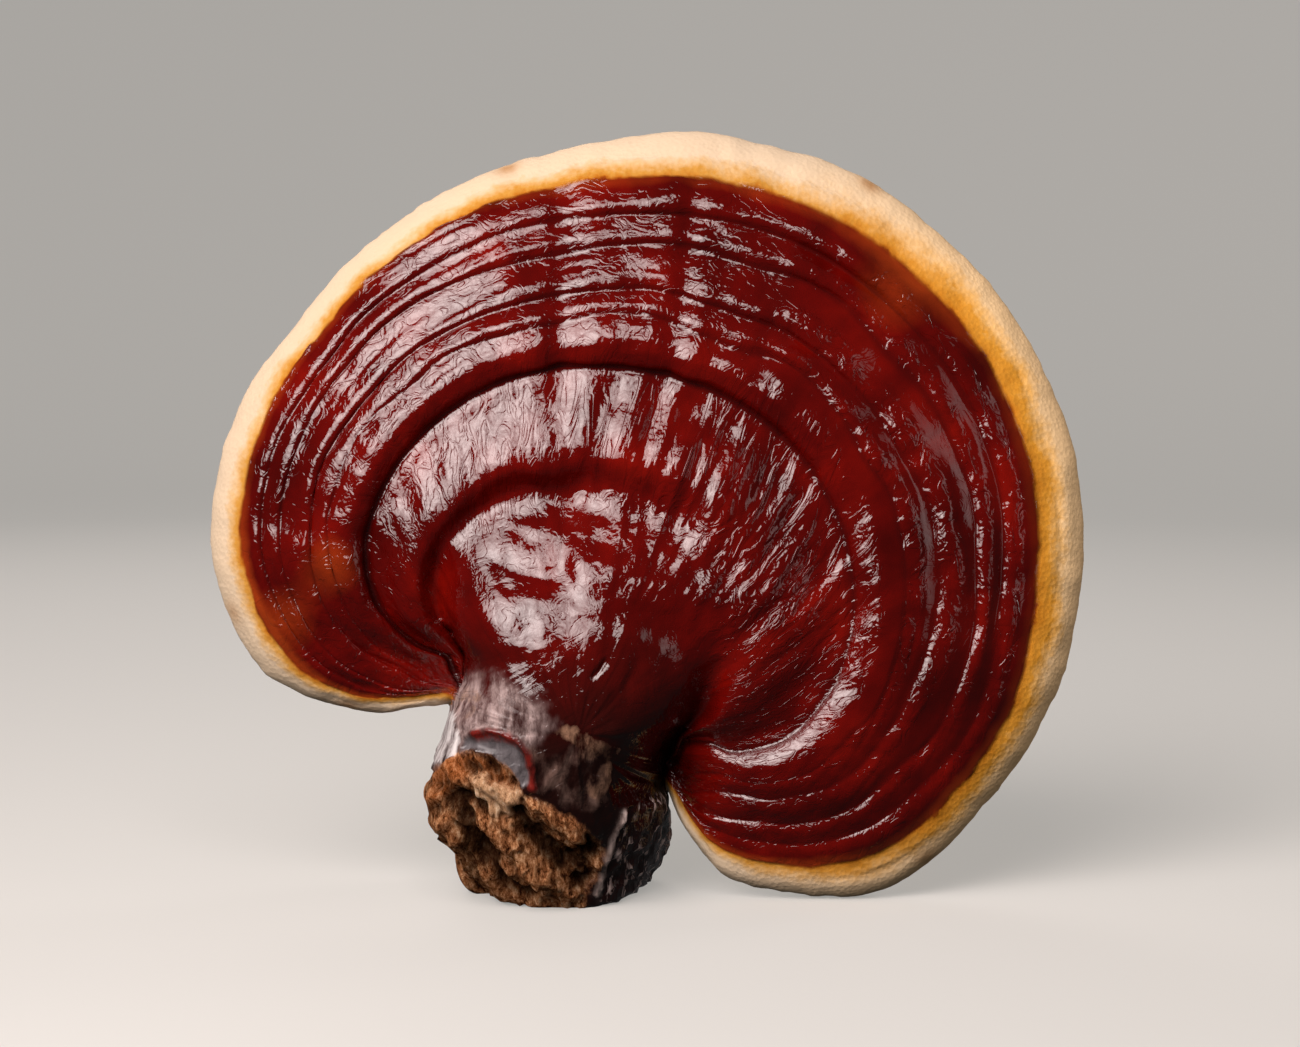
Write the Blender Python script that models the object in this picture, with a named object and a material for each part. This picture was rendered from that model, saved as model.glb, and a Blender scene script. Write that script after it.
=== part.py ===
"""A dried reishi mushroom, grown in one piece: a kidney-shaped lacquered cap, the hump and
short stem that leave its lower left side, and the torn corky foot that it stands on.

The cap is laid out on its own plane, the mid-plane of its rim: x runs to the right, h up the
plane and d out of it towards the front. Curves on it go round a pole on the hump, as pairs of
degrees (anticlockwise from x) and a distance. The plane leans back when the mushroom stands,
with the middle of the foot's flat cut at the origin and the lacquered face towards -Y."""

import bmesh
import bpy
import numpy as np

MM = 0.001

# Driving dimensions
CAP_WIDTH = 150 * MM
DRAWN_WIDTH = 150 * MM  # the cap width that the curves below are drawn at
LEAN_BACK = 5  # degrees
PLANE_HEIGHT = 50.2 * MM  # of the pole's plane above the ground, where the right lobe touches it
FOOT_CENTRE = (-10.7 * MM, 1.75 * MM)  # middle of the foot's cut, before the origin moves there

# How fine the solid is: columns run out from the pole, rows go round it
COLUMNS = 92
ROWS_HUMP, ROWS_INNER_RING, ROWS_MARGIN, ROWS_RIM, ROWS_BACK = 7, 6, 3, 6, 6
CLOSER_AT_CLEFTS = 1.6  # mm of outline that each degree near a cleft counts for
ROWS_EACH_RING = (0.0, 0.12, 0.3, 0.62)  # valley, flank, crest and flank of one growth ring

# Curves round the pole, (degrees, mm)
OUTLINE = [
    (0, 78.1), (10, 80.0), (20, 81.7), (30, 82.7), (40, 83.3), (50, 83.5), (57, 84.1), (64, 84.0),
    (70, 82.8), (80, 82.2), (90, 80.2), (100, 78.6), (110, 77.7), (120, 76.6), (130, 75.5),
    (140, 74.2), (150, 74.8), (160, 73.8), (170, 72.4), (180, 68.8), (190, 63.5),
    (200, 51.6), (204.6, 44.4), (206.6, 38.9), (210, 34.6), (215, 38.2), (220, 43.5),
    (224, 48.2), (230, 51.1), (235.5, 52.0), (238, 54.3), (241, 56.0), (249, 55.5),
    (256, 54.5), (263, 53.5), (268, 52.0), (272, 50.5), (275, 49.0), (277.5, 46.0),
    (280.3, 42.0), (283, 33.0), (284.6, 38.7), (287, 43.9), (290, 49.4), (300, 57.3),
    (304, 60.6), (310, 65.2), (320, 68.6), (330, 70.6), (340, 73.6), (347, 75.4),
    (353, 76.9),
]
LACQUER_EDGE = [
    (0, 69.7), (20, 73.0), (40, 74.8), (60, 75.1), (70, 74.5), (80, 73.8), (90, 72.7),
    (100, 72.1), (110, 71.9), (120, 71.1), (130, 70.5), (140, 69.3), (150, 69.3), (160, 68.1),
    (170, 66.4), (180, 62.8), (190, 57.0), (200, 46.2), (206, 34.0), (210, 32.6), (250, 32.0),
    (283, 30.5), (285, 33.0), (290, 42.7), (300, 51.0), (310, 57.2), (320, 61.8), (330, 64.3),
    (340, 66.9), (350, 68.7),
]
MAIN_GROOVE = [
    (0, 38.4), (30, 38.8), (50, 38.9), (70, 39.2), (80, 39.6), (90, 40.2), (100, 41.1),
    (110, 42.2), (120, 43.2), (130, 44.0), (140, 44.7), (150, 45.2), (160, 45.2), (170, 44.1),
    (180, 41.3), (190, 36.2), (197, 31.3), (204, 31.3), (210, 31.6), (250, 30.5), (283, 29.3),
    (288, 28.2), (294, 25.6), (302, 27.2), (306, 29.9), (313, 32.4), (320, 34.5), (330, 36.0),
    (340, 37.2),
]
HUMP_EDGE = [
    (0, 18.0), (40, 17.0), (70, 17.8), (80, 19.0), (90, 19.8), (110, 20.8), (122, 22.8),
    (129, 25.6), (141, 27.9), (150, 29.3), (160, 31.0), (172, 32.3), (182, 31.8), (191, 29.0),
    (198, 28.5), (204, 30.0), (210, 30.6), (250, 29.5), (283, 28.0), (288, 26.5), (294, 23.6),
    (304, 22.6), (320, 19.8), (335, 18.9),
]

# The clefts between cap and stem, and the sector between them that the stem leaves by, degrees
LEFT_CLEFT, RIGHT_CLEFT = 211, 284
STEM_BETWEEN = (211, 281)
STEM_ROWS_BETWEEN = (230, 262)  # where the rows are fully spread down the stem

# Heights in front of the plane along those curves, (degrees, mm)
POLE_HEIGHT = 22.5
HUMP_SHOULDER_AT = 0.6  # of the way out to the hump's edge
SHOULDER_HEIGHT = [(0, 21.2), (60, 19.5), (90, 18.8), (150, 18.3), (180, 17.0), (300, 21.0)]
HUMP_EDGE_HEIGHT = [
    (0, 19.6), (30, 18.8), (60, 17.4), (75, 16.6), (90, 16.2), (120, 15.2), (150, 14.0),
    (172, 11.8), (182, 9.5), (191, 7.0), (198, 5.0), (206, 4.0), (286, 0.5), (290, 4.0),
    (294, 7.0), (304, 11.0), (320, 14.5), (335, 17.5),
]
INNER_CREST_AT = 0.27  # of the way from the hump's edge to the main groove
INNER_CREST_HEIGHT = [
    (0, 18.8), (45, 18.8), (90, 18.6), (122, 17.9), (150, 17.0), (172, 15.0), (182, 12.5),
    (191, 9.0), (198, 6.5), (206, 4.2), (286, 1.0), (290, 5.0), (294, 8.5), (304, 13.5),
    (320, 16.8), (335, 18.2),
]
# How far inside the groove's line its valley is lowest, (degrees, mm)
BOTTOM_INSIDE = [(0, 1.8), (60, 1.4), (85, 0.0), (200, 0.0), (288, 0.6), (310, 1.6)]
GROOVE_HEIGHT = [
    (0, 14.5), (90, 14.5), (150, 13.5), (170, 12.0), (180, 10.3), (190, 7.0), (197, 4.8),
    (206, 3.8), (286, 0.5), (290, 4.0), (294, 6.5), (302, 9.5), (313, 11.8), (330, 13.6),
]
LIP_AT = 0.16  # past the groove, as a share of the outer zone
LIP_RISE = [(0, 2.2), (45, 1.4), (200, 1.4), (288, 1.4), (305, 2.4), (335, 2.6)]
OUTER_MIDDLE_AT = 0.55
OUTER_MIDDLE_HEIGHT = [
    (0, 12.4), (90, 12.2), (150, 11.7), (180, 9.6), (190, 7.8), (200, 5.8), (206, 4.2),
    (286, 1.5), (292, 5.5), (300, 8.0), (320, 11.0), (340, 12.5),
]
LACQUER_EDGE_HEIGHT = [(0, 7.6), (90, 8.0), (150, 7.8), (180, 6.8), (200, 4.8), (206, 4.0),
                       (286, 2.0), (290, 4.2), (320, 6.4)]
RIM_FRONT, RIM_BACK, RIM_ROUNDING = 3.4, -4.2, 4.2  # mm
BACK_MIDDLE = -5.5

# Growth rings of the outer zone: their valleys, as shares of the way from the main groove
# to the lacquer's edge, bunched outwards at the upper left
RING_VALLEYS = [0.0, 0.27, 0.42, 0.66, 0.81, 1.0]
RING_BUNCHING = [(0, 1.0), (105, 1.0), (135, 0.85), (155, 0.87), (180, 1.0)]
RING_CREST, RING_STEEPNESS = 0.15, 0.55  # a crest's height as a share of its ring's width
WIDEST_RING = 7.0  # mm, past which a ring gets no higher

# The stem: its sides across the plane and its heights, by distance up the plane, (mm, mm)
STEM_LEFT = [
    (-54, -21.0), (-51.6, -22.0), (-47.6, -26.5), (-45.6, -28.2), (-42, -29.6), (-39, -32.9),
    (-33.5, -34.6), (-28, -33.4), (-21.8, -31.3), (-16.9, -29.8), (-12.4, -27.6),
    (-8.9, -27.3), (-5.5, -28.9), (0, -31.0), (20, -32.0),
]
STEM_RIGHT = [
    (-54, 1.5), (-51, 3.0), (-47, 5.0), (-43.5, 6.4), (-39.2, 7.7), (-34.6, 8.4),
    (-30.6, 7.2), (-27.2, 7.4), (-22, 10.0), (-19.3, 12.9), (-8.3, 17.5), (0, 18.5),
    (20, 18.0),
]
STEM_FRONT = [
    (-54, 8.0), (-49, 11.0), (-42, 17.0), (-35, 22.0), (-28, 25.0), (-20, 26.4), (-13, 26.9),
    (-6, 26.3), (0, 24.4), (6, 21.0), (12, 16.5), (20, 6.0), (28, -14.0),
]
STEM_BACK = [
    (-54, -21.5), (-40, -20.5), (-28, -18.0), (-15, -13.0), (0, -8.0), (18, -5.0), (30, 3.0),
]
STEM_LEFT_DEPTH = [(-54, -4.0), (-30, -1.5), (-16, 1.0), (0, 3.0)]
STEM_RIGHT_DEPTH = [(-54, -14.0), (-40, -14.0), (-31, -10.0), (-24, -3.0), (-10, 3.0)]
STEM_ROUNDNESS = (3.2, 2.0)  # of its left and right; 2 is an ellipse, more is squarer
STEM_EDGE_ROUNDING = 1.6  # mm
BLEND_NARROW, BLEND_WIDE = 1.2, 6.0  # mm, between cap and stem: in the clefts, and above
UNDER_STEM = -12.0  # mm, where the cap's face goes in the stem's sector
SIDE_DROP = 60.0  # mm, how fast the stem's surface falls past its side
STEM_AT_RIM = 4.0  # mm, how far the cap's back comes forward beside the stem

# Relief, mm
FOLDS_COUNT, FOLDS_HEIGHT = 21, 0.55
LUMPS_SIZE, LUMPS_HEIGHT = 14.0, 0.5
TORN_SIZE, TORN_HEIGHT = 8.0, 1.2
TORN_BELOW = -25.5  # distance up the plane where the bark ends and the torn flesh begins

LACQUER_COLOUR = (0.095, 0.008, 0.006, 1.0)
LACQUER_ROUGHNESS = 0.22
LACQUER_COAT = 1.0


def blend(low, high, value):
    """0 below low, 1 above high, and 3t^2 - 2t^3 between."""
    share = np.clip((value - low) / (high - low), 0, 1)
    return share * share * (3 - 2 * share)


def cubic_through(at, values, wanted):
    """A cubic through the values, level at each of their highs and lows."""
    step = np.diff(at)
    rise = np.diff(values) / step
    same_way = rise[:-1] * rise[1:] > 0
    mean = 2 * rise[:-1] * rise[1:] / np.where(same_way, rise[:-1] + rise[1:], 1)
    slope = np.concatenate([[0], np.where(same_way, mean, 0), [0]])
    k = np.clip(np.searchsorted(at, wanted, side="right") - 1, 0, len(step) - 1)
    t = np.clip((wanted - at[k]) / step[k], 0, 1)
    swell = (values[k + 1] - values[k]) * t * t * (3 - 2 * t)
    turn = step[k] * t * (1 - t) * ((1 - t) * slope[k] - t * slope[k + 1])
    return values[k] + swell + turn


def around(curve, degrees):
    """The curve's value at each angle, in mm. It closes on itself."""
    at, values = np.array(curve, float).T
    at = np.concatenate([at - 360, at, at + 360])
    return cubic_through(at, np.tile(values, 3), degrees)


def along(curve, place):
    """The curve's value at each distance up the plane, in mm."""
    at, values = np.array(curve, float).T
    return cubic_through(at, values, place)


def radial_profile(radius, radii, heights):
    """A cubic out from the pole through the heights at the radii, straight past the last."""
    radii, heights = np.stack(radii), np.stack(heights)
    step = np.diff(radii, axis=0)
    rise = np.diff(heights, axis=0) / step
    same_way = rise[:-1] * rise[1:] > 0
    mean = 2 * rise[:-1] * rise[1:] / np.where(same_way, rise[:-1] + rise[1:], 1)
    slope = np.concatenate([0 * rise[:1], np.where(same_way, mean, 0), rise[-1:]])
    result = heights[0]
    for k in range(len(step)):
        t = np.clip((radius - radii[k]) / step[k], 0, 1)
        swell = (heights[k + 1] - heights[k]) * t * t * (3 - 2 * t)
        turn = step[k] * t * (1 - t) * ((1 - t) * slope[k] - t * slope[k + 1])
        result = np.where(radius >= radii[k], heights[k] + swell + turn, result)
    return result + slope[-1] * np.maximum(radius - radii[-1], 0)


def smooth_max(a, b, width):
    """The larger of the two, rounded over where they are within the width."""
    near = np.maximum(width - np.abs(a - b), 0) / width
    return np.maximum(a, b) + width * near * near / 4


def lumps(x, h, size):
    """Soft lumps about this size across: a sum of sines that never line up."""
    u, v = 2 * np.pi * x / size, 2 * np.pi * h / size
    return (
        np.sin(u + 1.3 * np.sin(0.61 * v + 0.5)) * np.sin(0.93 * v + 1.1 * np.sin(0.71 * u))
        + 0.6 * np.sin(1.73 * u + 0.9 * v + 2.1)
        + 0.4 * np.sin(2.61 * v - 1.4 * u + 0.7)
    )


def in_stem(degrees):
    """1 in the sector that the stem leaves by, 0 where the cap has its rim."""
    start, end = STEM_BETWEEN
    return blend(start - 3, start + 3, degrees) * (1 - blend(end - 2, end + 4, degrees))


def cap_front(radius, degrees):
    """The lacquered face: hump, inner ring, main groove, outer zone and pale margin."""
    hump, groove = around(HUMP_EDGE, degrees), around(MAIN_GROOVE, degrees)
    lacquer = around(LACQUER_EDGE, degrees)
    groove_height = around(GROOVE_HEIGHT, degrees)
    lip_height = groove_height + around(LIP_RISE, degrees) * blend(3, 12, groove_height)
    height = radial_profile(
        radius,
        [
            0 * radius,
            hump * HUMP_SHOULDER_AT,
            hump,
            hump + (groove - hump) * INNER_CREST_AT,
            groove - around(BOTTOM_INSIDE, degrees),
            groove + (lacquer - groove) * LIP_AT,
            groove + (lacquer - groove) * OUTER_MIDDLE_AT,
            lacquer,
            around(OUTLINE, degrees),
        ],
        [
            POLE_HEIGHT + 0 * radius,
            around(SHOULDER_HEIGHT, degrees),
            around(HUMP_EDGE_HEIGHT, degrees),
            around(INNER_CREST_HEIGHT, degrees),
            groove_height,
            lip_height,
            around(OUTER_MIDDLE_HEIGHT, degrees),
            around(LACQUER_EDGE_HEIGHT, degrees),
            RIM_FRONT + 0 * radius,
        ],
    )
    return height + growth_rings(radius, degrees, groove, lacquer)


def growth_rings(radius, degrees, groove, lacquer):
    """Low rolls with sharp valleys: each is highest near its inner side."""
    share = np.clip((radius - groove) / (lacquer - groove), 0, 1)
    share = share ** (1 / around(RING_BUNCHING, degrees))
    ring = np.interp(share, RING_VALLEYS, range(len(RING_VALLEYS)))
    width = np.diff(RING_VALLEYS + [1.05])[ring.astype(int)] * (lacquer - groove)
    wave = 0.5 - 0.5 * np.cos(2 * np.pi * (ring % 1) ** RING_STEEPNESS)
    return RING_CREST * np.clip(width, 0, WIDEST_RING) * wave


def stem_surface(x, h, crown):
    """One side of the stem: a squarish ellipse across it, from side to side over the crown."""
    left, right = along(STEM_LEFT, h), along(STEM_RIGHT, h)
    across = (2 * x - left - right) / (right - left)
    inside = np.minimum(np.abs(across), 1)
    roundness = np.where(across < 0, *STEM_ROUNDNESS)
    arch = (1 - inside**roundness) ** (1 / roundness)
    side_share = blend(-1, 1, across)
    side = along(STEM_LEFT_DEPTH, h) * (1 - side_share) + along(STEM_RIGHT_DEPTH, h) * side_share
    return side + (along(crown, h) - side) * arch, np.abs(across) - inside


def relief(x, h, d, radius, degrees):
    """Radial folds on the inner ring's right side, soft lumps on the hump, torn flesh below."""
    hump, groove = around(HUMP_EDGE, degrees), around(MAIN_GROOVE, degrees)
    turned = (degrees + 90) % 360 - 90
    folded = blend(-70, -40, turned) * (1 - blend(70, 110, turned))
    ring_share = np.clip((radius - 0.9 * hump) / (groove - 0.9 * hump), 0, 1)
    folds = np.sin(np.radians(FOLDS_COUNT * degrees) + 1.2 * np.sin(radius / 7))
    folds = FOLDS_HEIGHT * folds * folded * np.sin(np.pi * ring_share)
    soft = LUMPS_HEIGHT * lumps(x, h, LUMPS_SIZE) * (1 - blend(0.8, 1.2, radius / groove))
    border = TORN_BELOW + 2.5 * np.sin(x / 4) + 0.35 * (x + 20)
    torn = in_stem(degrees) * (1 - blend(border - 2, border + 2, h)) * blend(-8, 4, d)
    return (folds + soft) * (1 - torn) + TORN_HEIGHT * torn * lumps(x, h, TORN_SIZE)


def front_height(radius, degrees):
    """The front's height: cap and stem, whichever stands further out, blended together."""
    x, h = radius * np.cos(np.radians(degrees)), radius * np.sin(np.radians(degrees))
    hump = around(HUMP_EDGE, degrees)
    left_cap = in_stem(degrees) * blend(0.8 * hump, hump, radius)
    cap = cap_front(radius, degrees) * (1 - left_cap) + UNDER_STEM * left_cap
    stem, past_side = stem_surface(x, h, STEM_FRONT)
    stem = stem - SIDE_DROP * past_side
    merged = smooth_max(cap, stem, BLEND_NARROW + (BLEND_WIDE - BLEND_NARROW) * blend(-4, 8, h))
    return merged + relief(x, h, merged, radius, degrees)


def back_height(radius, degrees):
    """The back's height: a nearly flat pore surface, with the stem's ridge fading up it."""
    x, h = radius * np.cos(np.radians(degrees)), radius * np.sin(np.radians(degrees))
    share = blend(0, 1, radius / around(OUTLINE, degrees))
    pores = BACK_MIDDLE * (1 - share) + RIM_BACK * share + STEM_AT_RIM * in_stem(degrees) * share
    stem, past_side = stem_surface(x, h, STEM_BACK)
    return -smooth_max(-pores, -(stem + SIDE_DROP * past_side), BLEND_WIDE)


def edge_depth(degrees, outline):
    """Where the side's furthest-out line lies: on the plane at the rim, back round the stem."""
    h = outline * np.sin(np.radians(degrees))
    x = outline * np.cos(np.radians(degrees))
    to_right = blend(-22, 2, x)
    depth = along(STEM_LEFT_DEPTH, h) * (1 - to_right) + along(STEM_RIGHT_DEPTH, h) * to_right
    return depth * in_stem(degrees)


def column_angles():
    """Angles of the columns, evenly spaced along the outline but closer beside the clefts."""
    degrees = np.linspace(0, 360, 3601)
    radius = around(OUTLINE, degrees)
    turn = np.radians(degrees)
    place = np.stack([radius * np.cos(turn), radius * np.sin(turn)])
    step = np.hypot(*np.diff(place, axis=1))
    middle = (degrees[:-1] + degrees[1:]) / 2
    from_cleft = np.minimum(np.abs(middle - LEFT_CLEFT), np.abs(middle - RIGHT_CLEFT))
    step = step + CLOSER_AT_CLEFTS * np.diff(degrees) * (1 - blend(4, 12, from_cleft))
    length = np.concatenate([[0], np.cumsum(step)])
    return np.interp(np.arange(COLUMNS) / COLUMNS * length[-1], length, degrees)


def rows_out(degrees):
    """Distances of the front's rows from the pole, pole and rim start included, in mm.

    On the cap they follow the hump's edge, the main groove, every growth ring and the
    lacquer's edge. Down the stem they are spread out instead."""
    left, right = STEM_ROWS_BETWEEN
    stem_share = blend(LEFT_CLEFT, left, degrees) * (1 - blend(right, RIGHT_CLEFT, degrees))
    outline = around(OUTLINE, degrees)
    rim_start = outline - RIM_ROUNDING
    shares = [0.22, 0.38, 0.93]
    curves = [around(curve, degrees) for curve in (HUMP_EDGE, MAIN_GROOVE, LACQUER_EDGE)]
    hump, groove, lacquer = (
        np.minimum(curve, rim_start - gap) * (1 - stem_share) + share * rim_start * stem_share
        for curve, share, gap in zip(curves, shares, (3, 2, 1))
    )
    hump_rows = np.linspace(0, 1, ROWS_HUMP + 1)[:, None] * hump
    inner_rows = hump + np.linspace(0, 1, ROWS_INNER_RING + 1)[1:-1, None] * (groove - hump)
    valleys = np.array(RING_VALLEYS)
    ring_share = (valleys[:-1, None] + np.diff(valleys)[:, None] * ROWS_EACH_RING).ravel()
    bunching = around(RING_BUNCHING, degrees)
    ring_rows = groove + ring_share[:, None] ** bunching * (lacquer - groove)
    margin_share = np.linspace(0, 1, ROWS_MARGIN + 1)[:-1, None]
    margin_rows = lacquer + margin_share * (rim_start - lacquer)
    return np.concatenate([hump_rows, inner_rows, ring_rows, margin_rows])


def cap_surface():
    """Places of all rows and columns, in mm on the plane: out over the front, round the
    rim and in again over the back. The rim is r = R - e + e sin t, with the height above
    its edge scaled by cos t."""
    degrees = column_angles()
    outline = around(OUTLINE, degrees)
    front = rows_out(degrees)
    turn = np.linspace(0, np.pi, ROWS_RIM + 1)[:, None]
    rim = outline - RIM_ROUNDING * (1 - np.sin(turn))
    back = np.linspace(1, 0, ROWS_BACK + 1)[1:, None] * (outline - RIM_ROUNDING)
    radius = np.concatenate([front, rim, back])
    degrees = degrees + 0 * radius
    is_front = np.arange(len(radius)) <= len(front) + ROWS_RIM // 2
    rounding = RIM_ROUNDING + (STEM_EDGE_ROUNDING - RIM_ROUNDING) * in_stem(degrees)
    past = np.clip((radius - outline + rounding) / rounding, 0, 1)
    depth = edge_depth(degrees, outline + 0 * radius)
    height = np.where(
        is_front[:, None], front_height(radius, degrees), back_height(radius, degrees)
    )
    height = depth + (height - depth) * np.sqrt(1 - past**2)
    turn = np.radians(degrees)
    return np.stack([radius * np.cos(turn), radius * np.sin(turn), height], axis=-1)


def stand_up(place):
    """Leans the plane back, lifts it to stand on the ground and puts the foot at the origin."""
    x, h, d = np.moveaxis(place * MM * CAP_WIDTH / DRAWN_WIDTH, -1, 0)
    lean = np.radians(LEAN_BACK)
    y = h * np.sin(lean) - d * np.cos(lean)
    z = h * np.cos(lean) + d * np.sin(lean) + PLANE_HEIGHT
    return np.stack([x - FOOT_CENTRE[0], y - FOOT_CENTRE[1], z], axis=-1)


def lacquered_material():
    material = bpy.data.materials.new("lacquered_reishi")
    material.use_nodes = True
    shader = material.node_tree.nodes["Principled BSDF"]
    shader.inputs["Base Color"].default_value = LACQUER_COLOUR
    shader.inputs["Roughness"].default_value = LACQUER_ROUGHNESS
    shader.inputs["Metallic"].default_value = 0.0
    shader.inputs["Coat Weight"].default_value = LACQUER_COAT
    return material


def fruiting_body():
    """A sphere's rows and columns, moved to the mushroom's, then cut flat at the foot."""
    places = stand_up(cap_surface())
    rows = len(places)
    shape = bmesh.new()
    bmesh.ops.create_uvsphere(shape, u_segments=COLUMNS, v_segments=rows - 1, radius=1)
    shape.verts.ensure_lookup_table()
    ball = np.array([vertex.co for vertex in shape.verts])
    row = np.arccos(np.clip(ball[:, 2], -1, 1)) / np.pi * (rows - 1)
    column = np.arctan2(ball[:, 1], ball[:, 0]) / (2 * np.pi) * COLUMNS
    moved = places[np.rint(row).astype(int), np.rint(column).astype(int) % COLUMNS]
    for vertex, place in zip(shape.verts, moved):
        vertex.co = place
    everything = shape.verts[:] + shape.edges[:] + shape.faces[:]
    cut = bmesh.ops.bisect_plane(
        shape, geom=everything, dist=1e-6, plane_co=(0, 0, 0), plane_no=(0, 0, -1),
        clear_outer=True,
    )
    cut_edges = [item for item in cut["geom_cut"] if isinstance(item, bmesh.types.BMEdge)]
    bmesh.ops.holes_fill(shape, edges=cut_edges, sides=0)
    mesh = bpy.data.meshes.new("fruiting_body")
    shape.to_mesh(mesh)
    shape.free()
    mesh.materials.append(lacquered_material())
    mesh.shade_smooth()
    body = bpy.data.objects.new("fruiting_body", mesh)
    bpy.context.scene.collection.objects.link(body)
    return body


for old in list(bpy.data.objects):
    bpy.data.objects.remove(old)
fruiting_body()
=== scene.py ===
import bpy
import numpy as np
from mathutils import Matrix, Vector


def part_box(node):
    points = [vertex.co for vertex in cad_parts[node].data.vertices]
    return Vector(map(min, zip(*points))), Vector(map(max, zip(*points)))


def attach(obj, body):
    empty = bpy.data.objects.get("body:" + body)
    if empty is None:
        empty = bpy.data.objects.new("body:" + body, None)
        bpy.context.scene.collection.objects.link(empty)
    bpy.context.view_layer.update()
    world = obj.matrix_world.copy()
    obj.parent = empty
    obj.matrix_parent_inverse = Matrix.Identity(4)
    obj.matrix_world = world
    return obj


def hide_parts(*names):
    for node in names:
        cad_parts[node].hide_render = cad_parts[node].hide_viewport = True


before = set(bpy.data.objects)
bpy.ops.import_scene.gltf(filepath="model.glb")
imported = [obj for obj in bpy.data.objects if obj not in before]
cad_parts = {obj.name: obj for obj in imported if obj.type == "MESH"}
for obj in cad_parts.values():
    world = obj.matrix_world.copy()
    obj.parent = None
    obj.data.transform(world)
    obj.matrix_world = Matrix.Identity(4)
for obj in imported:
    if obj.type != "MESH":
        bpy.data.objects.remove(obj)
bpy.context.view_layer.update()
print("frame loaded:", ", ".join(sorted(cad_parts)))

# The mushroom is drawn on the cap's own plane, in millimetres round a pole on the hump: x to
# the right, h up the plane and d out of it, towards the front. The plane leans back.
drawing = {
    "width": 150.1,  # mm across the cap as drawn; the frame's width gives the real scale
    "leanBack": 5,  # degrees
    "planeHeight": 50.2,
    "footCentre": (-10.7, 1.75),
}
capLow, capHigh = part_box("fruiting_body")
metresPerMm = (capHigh.x - capLow.x) / drawing["width"]


def toWorld(place):
    # leans the plane back, lifts it off the ground and brings the foot's middle to the origin
    x, h, d = np.moveaxis(np.asarray(place, float), -1, 0)
    lean = np.radians(drawing["leanBack"])
    y = h * np.sin(lean) - d * np.cos(lean) - drawing["footCentre"][1]
    z = h * np.cos(lean) + d * np.sin(lean) + drawing["planeHeight"]
    return np.stack([x - drawing["footCentre"][0], y, z], axis=-1) * metresPerMm


# camera
view = {
    "lens": 100,
    "clipStart": 0.02,
    "distance": 0.621,
    "elevation": 6,  # degrees above level, looking down at the cap
    "lookedAt": (4.3, 14.0, 0.0),  # on the cap's plane, mm
}


def addObject(name, data):
    added = bpy.data.objects.new(name, data)
    bpy.context.scene.collection.objects.link(added)
    return added


def placeFacing(added, target, away, distance):
    # stands this far off in the direction away and looks back at the target
    added.location = target + away * distance
    added.rotation_euler = (-away).to_track_quat("-Z", "Y").to_euler()


def placeCamera():
    tilt = np.radians(view["elevation"])
    away = Vector((0, -np.cos(tilt), np.sin(tilt)))
    camera = addObject("camera", bpy.data.cameras.new("camera"))
    camera.data.lens = view["lens"]
    camera.data.clip_start = view["clipStart"]
    placeFacing(camera, Vector(toWorld(view["lookedAt"])), away, view["distance"])
    bpy.context.scene.camera = camera


placeCamera()
bpy.context.scene.view_settings.view_transform = "Standard"  # colours as the photograph has them


# steps, noise and curves, all worked out on whole arrays
randomLattice = np.random.default_rng(11).uniform(-1, 1, (40, 40, 40))


def softStep(low, high, value):
    # 0 below low, 1 above high, and 3t^2 - 2t^3 between them
    t = np.clip((value - low) / (high - low), 0, 1)
    return t * t * (3 - 2 * t)


def between(low, lowEnd, highStart, high, value):
    # 1 between lowEnd and highStart, and a soft step down to 0 at low and at high
    return softStep(low, lowEnd, value) * (1 - softStep(highStart, high, value))


def bell(distance, halfWidth):
    # e^-(distance / half width)^2
    return np.exp(-((distance / halfWidth) ** 2))


def softNoise(place, seed=0):
    # random values at whole numbers, mixed between them by 6t^5 - 15t^4 + 10t^3
    place = place + 7.31 * seed
    cell = np.floor(place).astype(int)
    t = place - cell
    t = t**3 * (t * (6 * t - 15) + 10)
    total = 0
    for corner in np.ndindex(2, 2, 2):
        weight = np.prod(np.where(corner, t, 1 - t), axis=-1)
        i, j, k = np.moveaxis((cell + corner) % len(randomLattice), -1, 0)
        total = total + weight * randomLattice[i, j, k]
    return total


def layeredNoise(place, layers, seed=0):
    # soft noise added to itself, each layer twice as fine and half as strong
    return sum(softNoise(place * 2**k, seed + k) / 2**k for k in range(layers))


def creasedNoise(place, layers, seed=0):
    # 1 on thin winding lines where the noise crosses zero, falling off to both sides
    return sum((1 - np.abs(2 * softNoise(place * 2**k, seed + k))) / 2**k for k in range(layers))


def stacked(*parts):
    return np.stack(np.broadcast_arrays(*parts), axis=-1)


def slopesThrough(step, values):
    # the slope at each inner value, level at highs and lows and else the harmonic mean of the
    # rises to either side; and the last rise
    rise = np.diff(values, axis=0) / step
    sameWay = rise[:-1] * rise[1:] > 0
    mean = 2 * rise[:-1] * rise[1:] / np.where(sameWay, rise[:-1] + rise[1:], 1)
    return np.where(sameWay, mean, 0), rise[-1:]


def cubicPiece(t, step, values, slopes):
    # from the first value to the second by 3t^2 - 2t^3, bent to the slope at each of them
    swell = (values[1] - values[0]) * t * t * (3 - 2 * t)
    return values[0] + swell + step * t * (1 - t) * ((1 - t) * slopes[0] - t * slopes[1])


def cubicThrough(at, values, wanted):
    # cubic pieces through the values, level at both ends
    step = np.diff(at)
    slope = np.concatenate([[0], slopesThrough(step, values)[0], [0]])
    k = np.clip(np.searchsorted(at, wanted, side="right") - 1, 0, len(step) - 1)
    t = np.clip((wanted - at[k]) / step[k], 0, 1)
    return cubicPiece(t, step[k], (values[k], values[k + 1]), (slope[k], slope[k + 1]))


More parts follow.
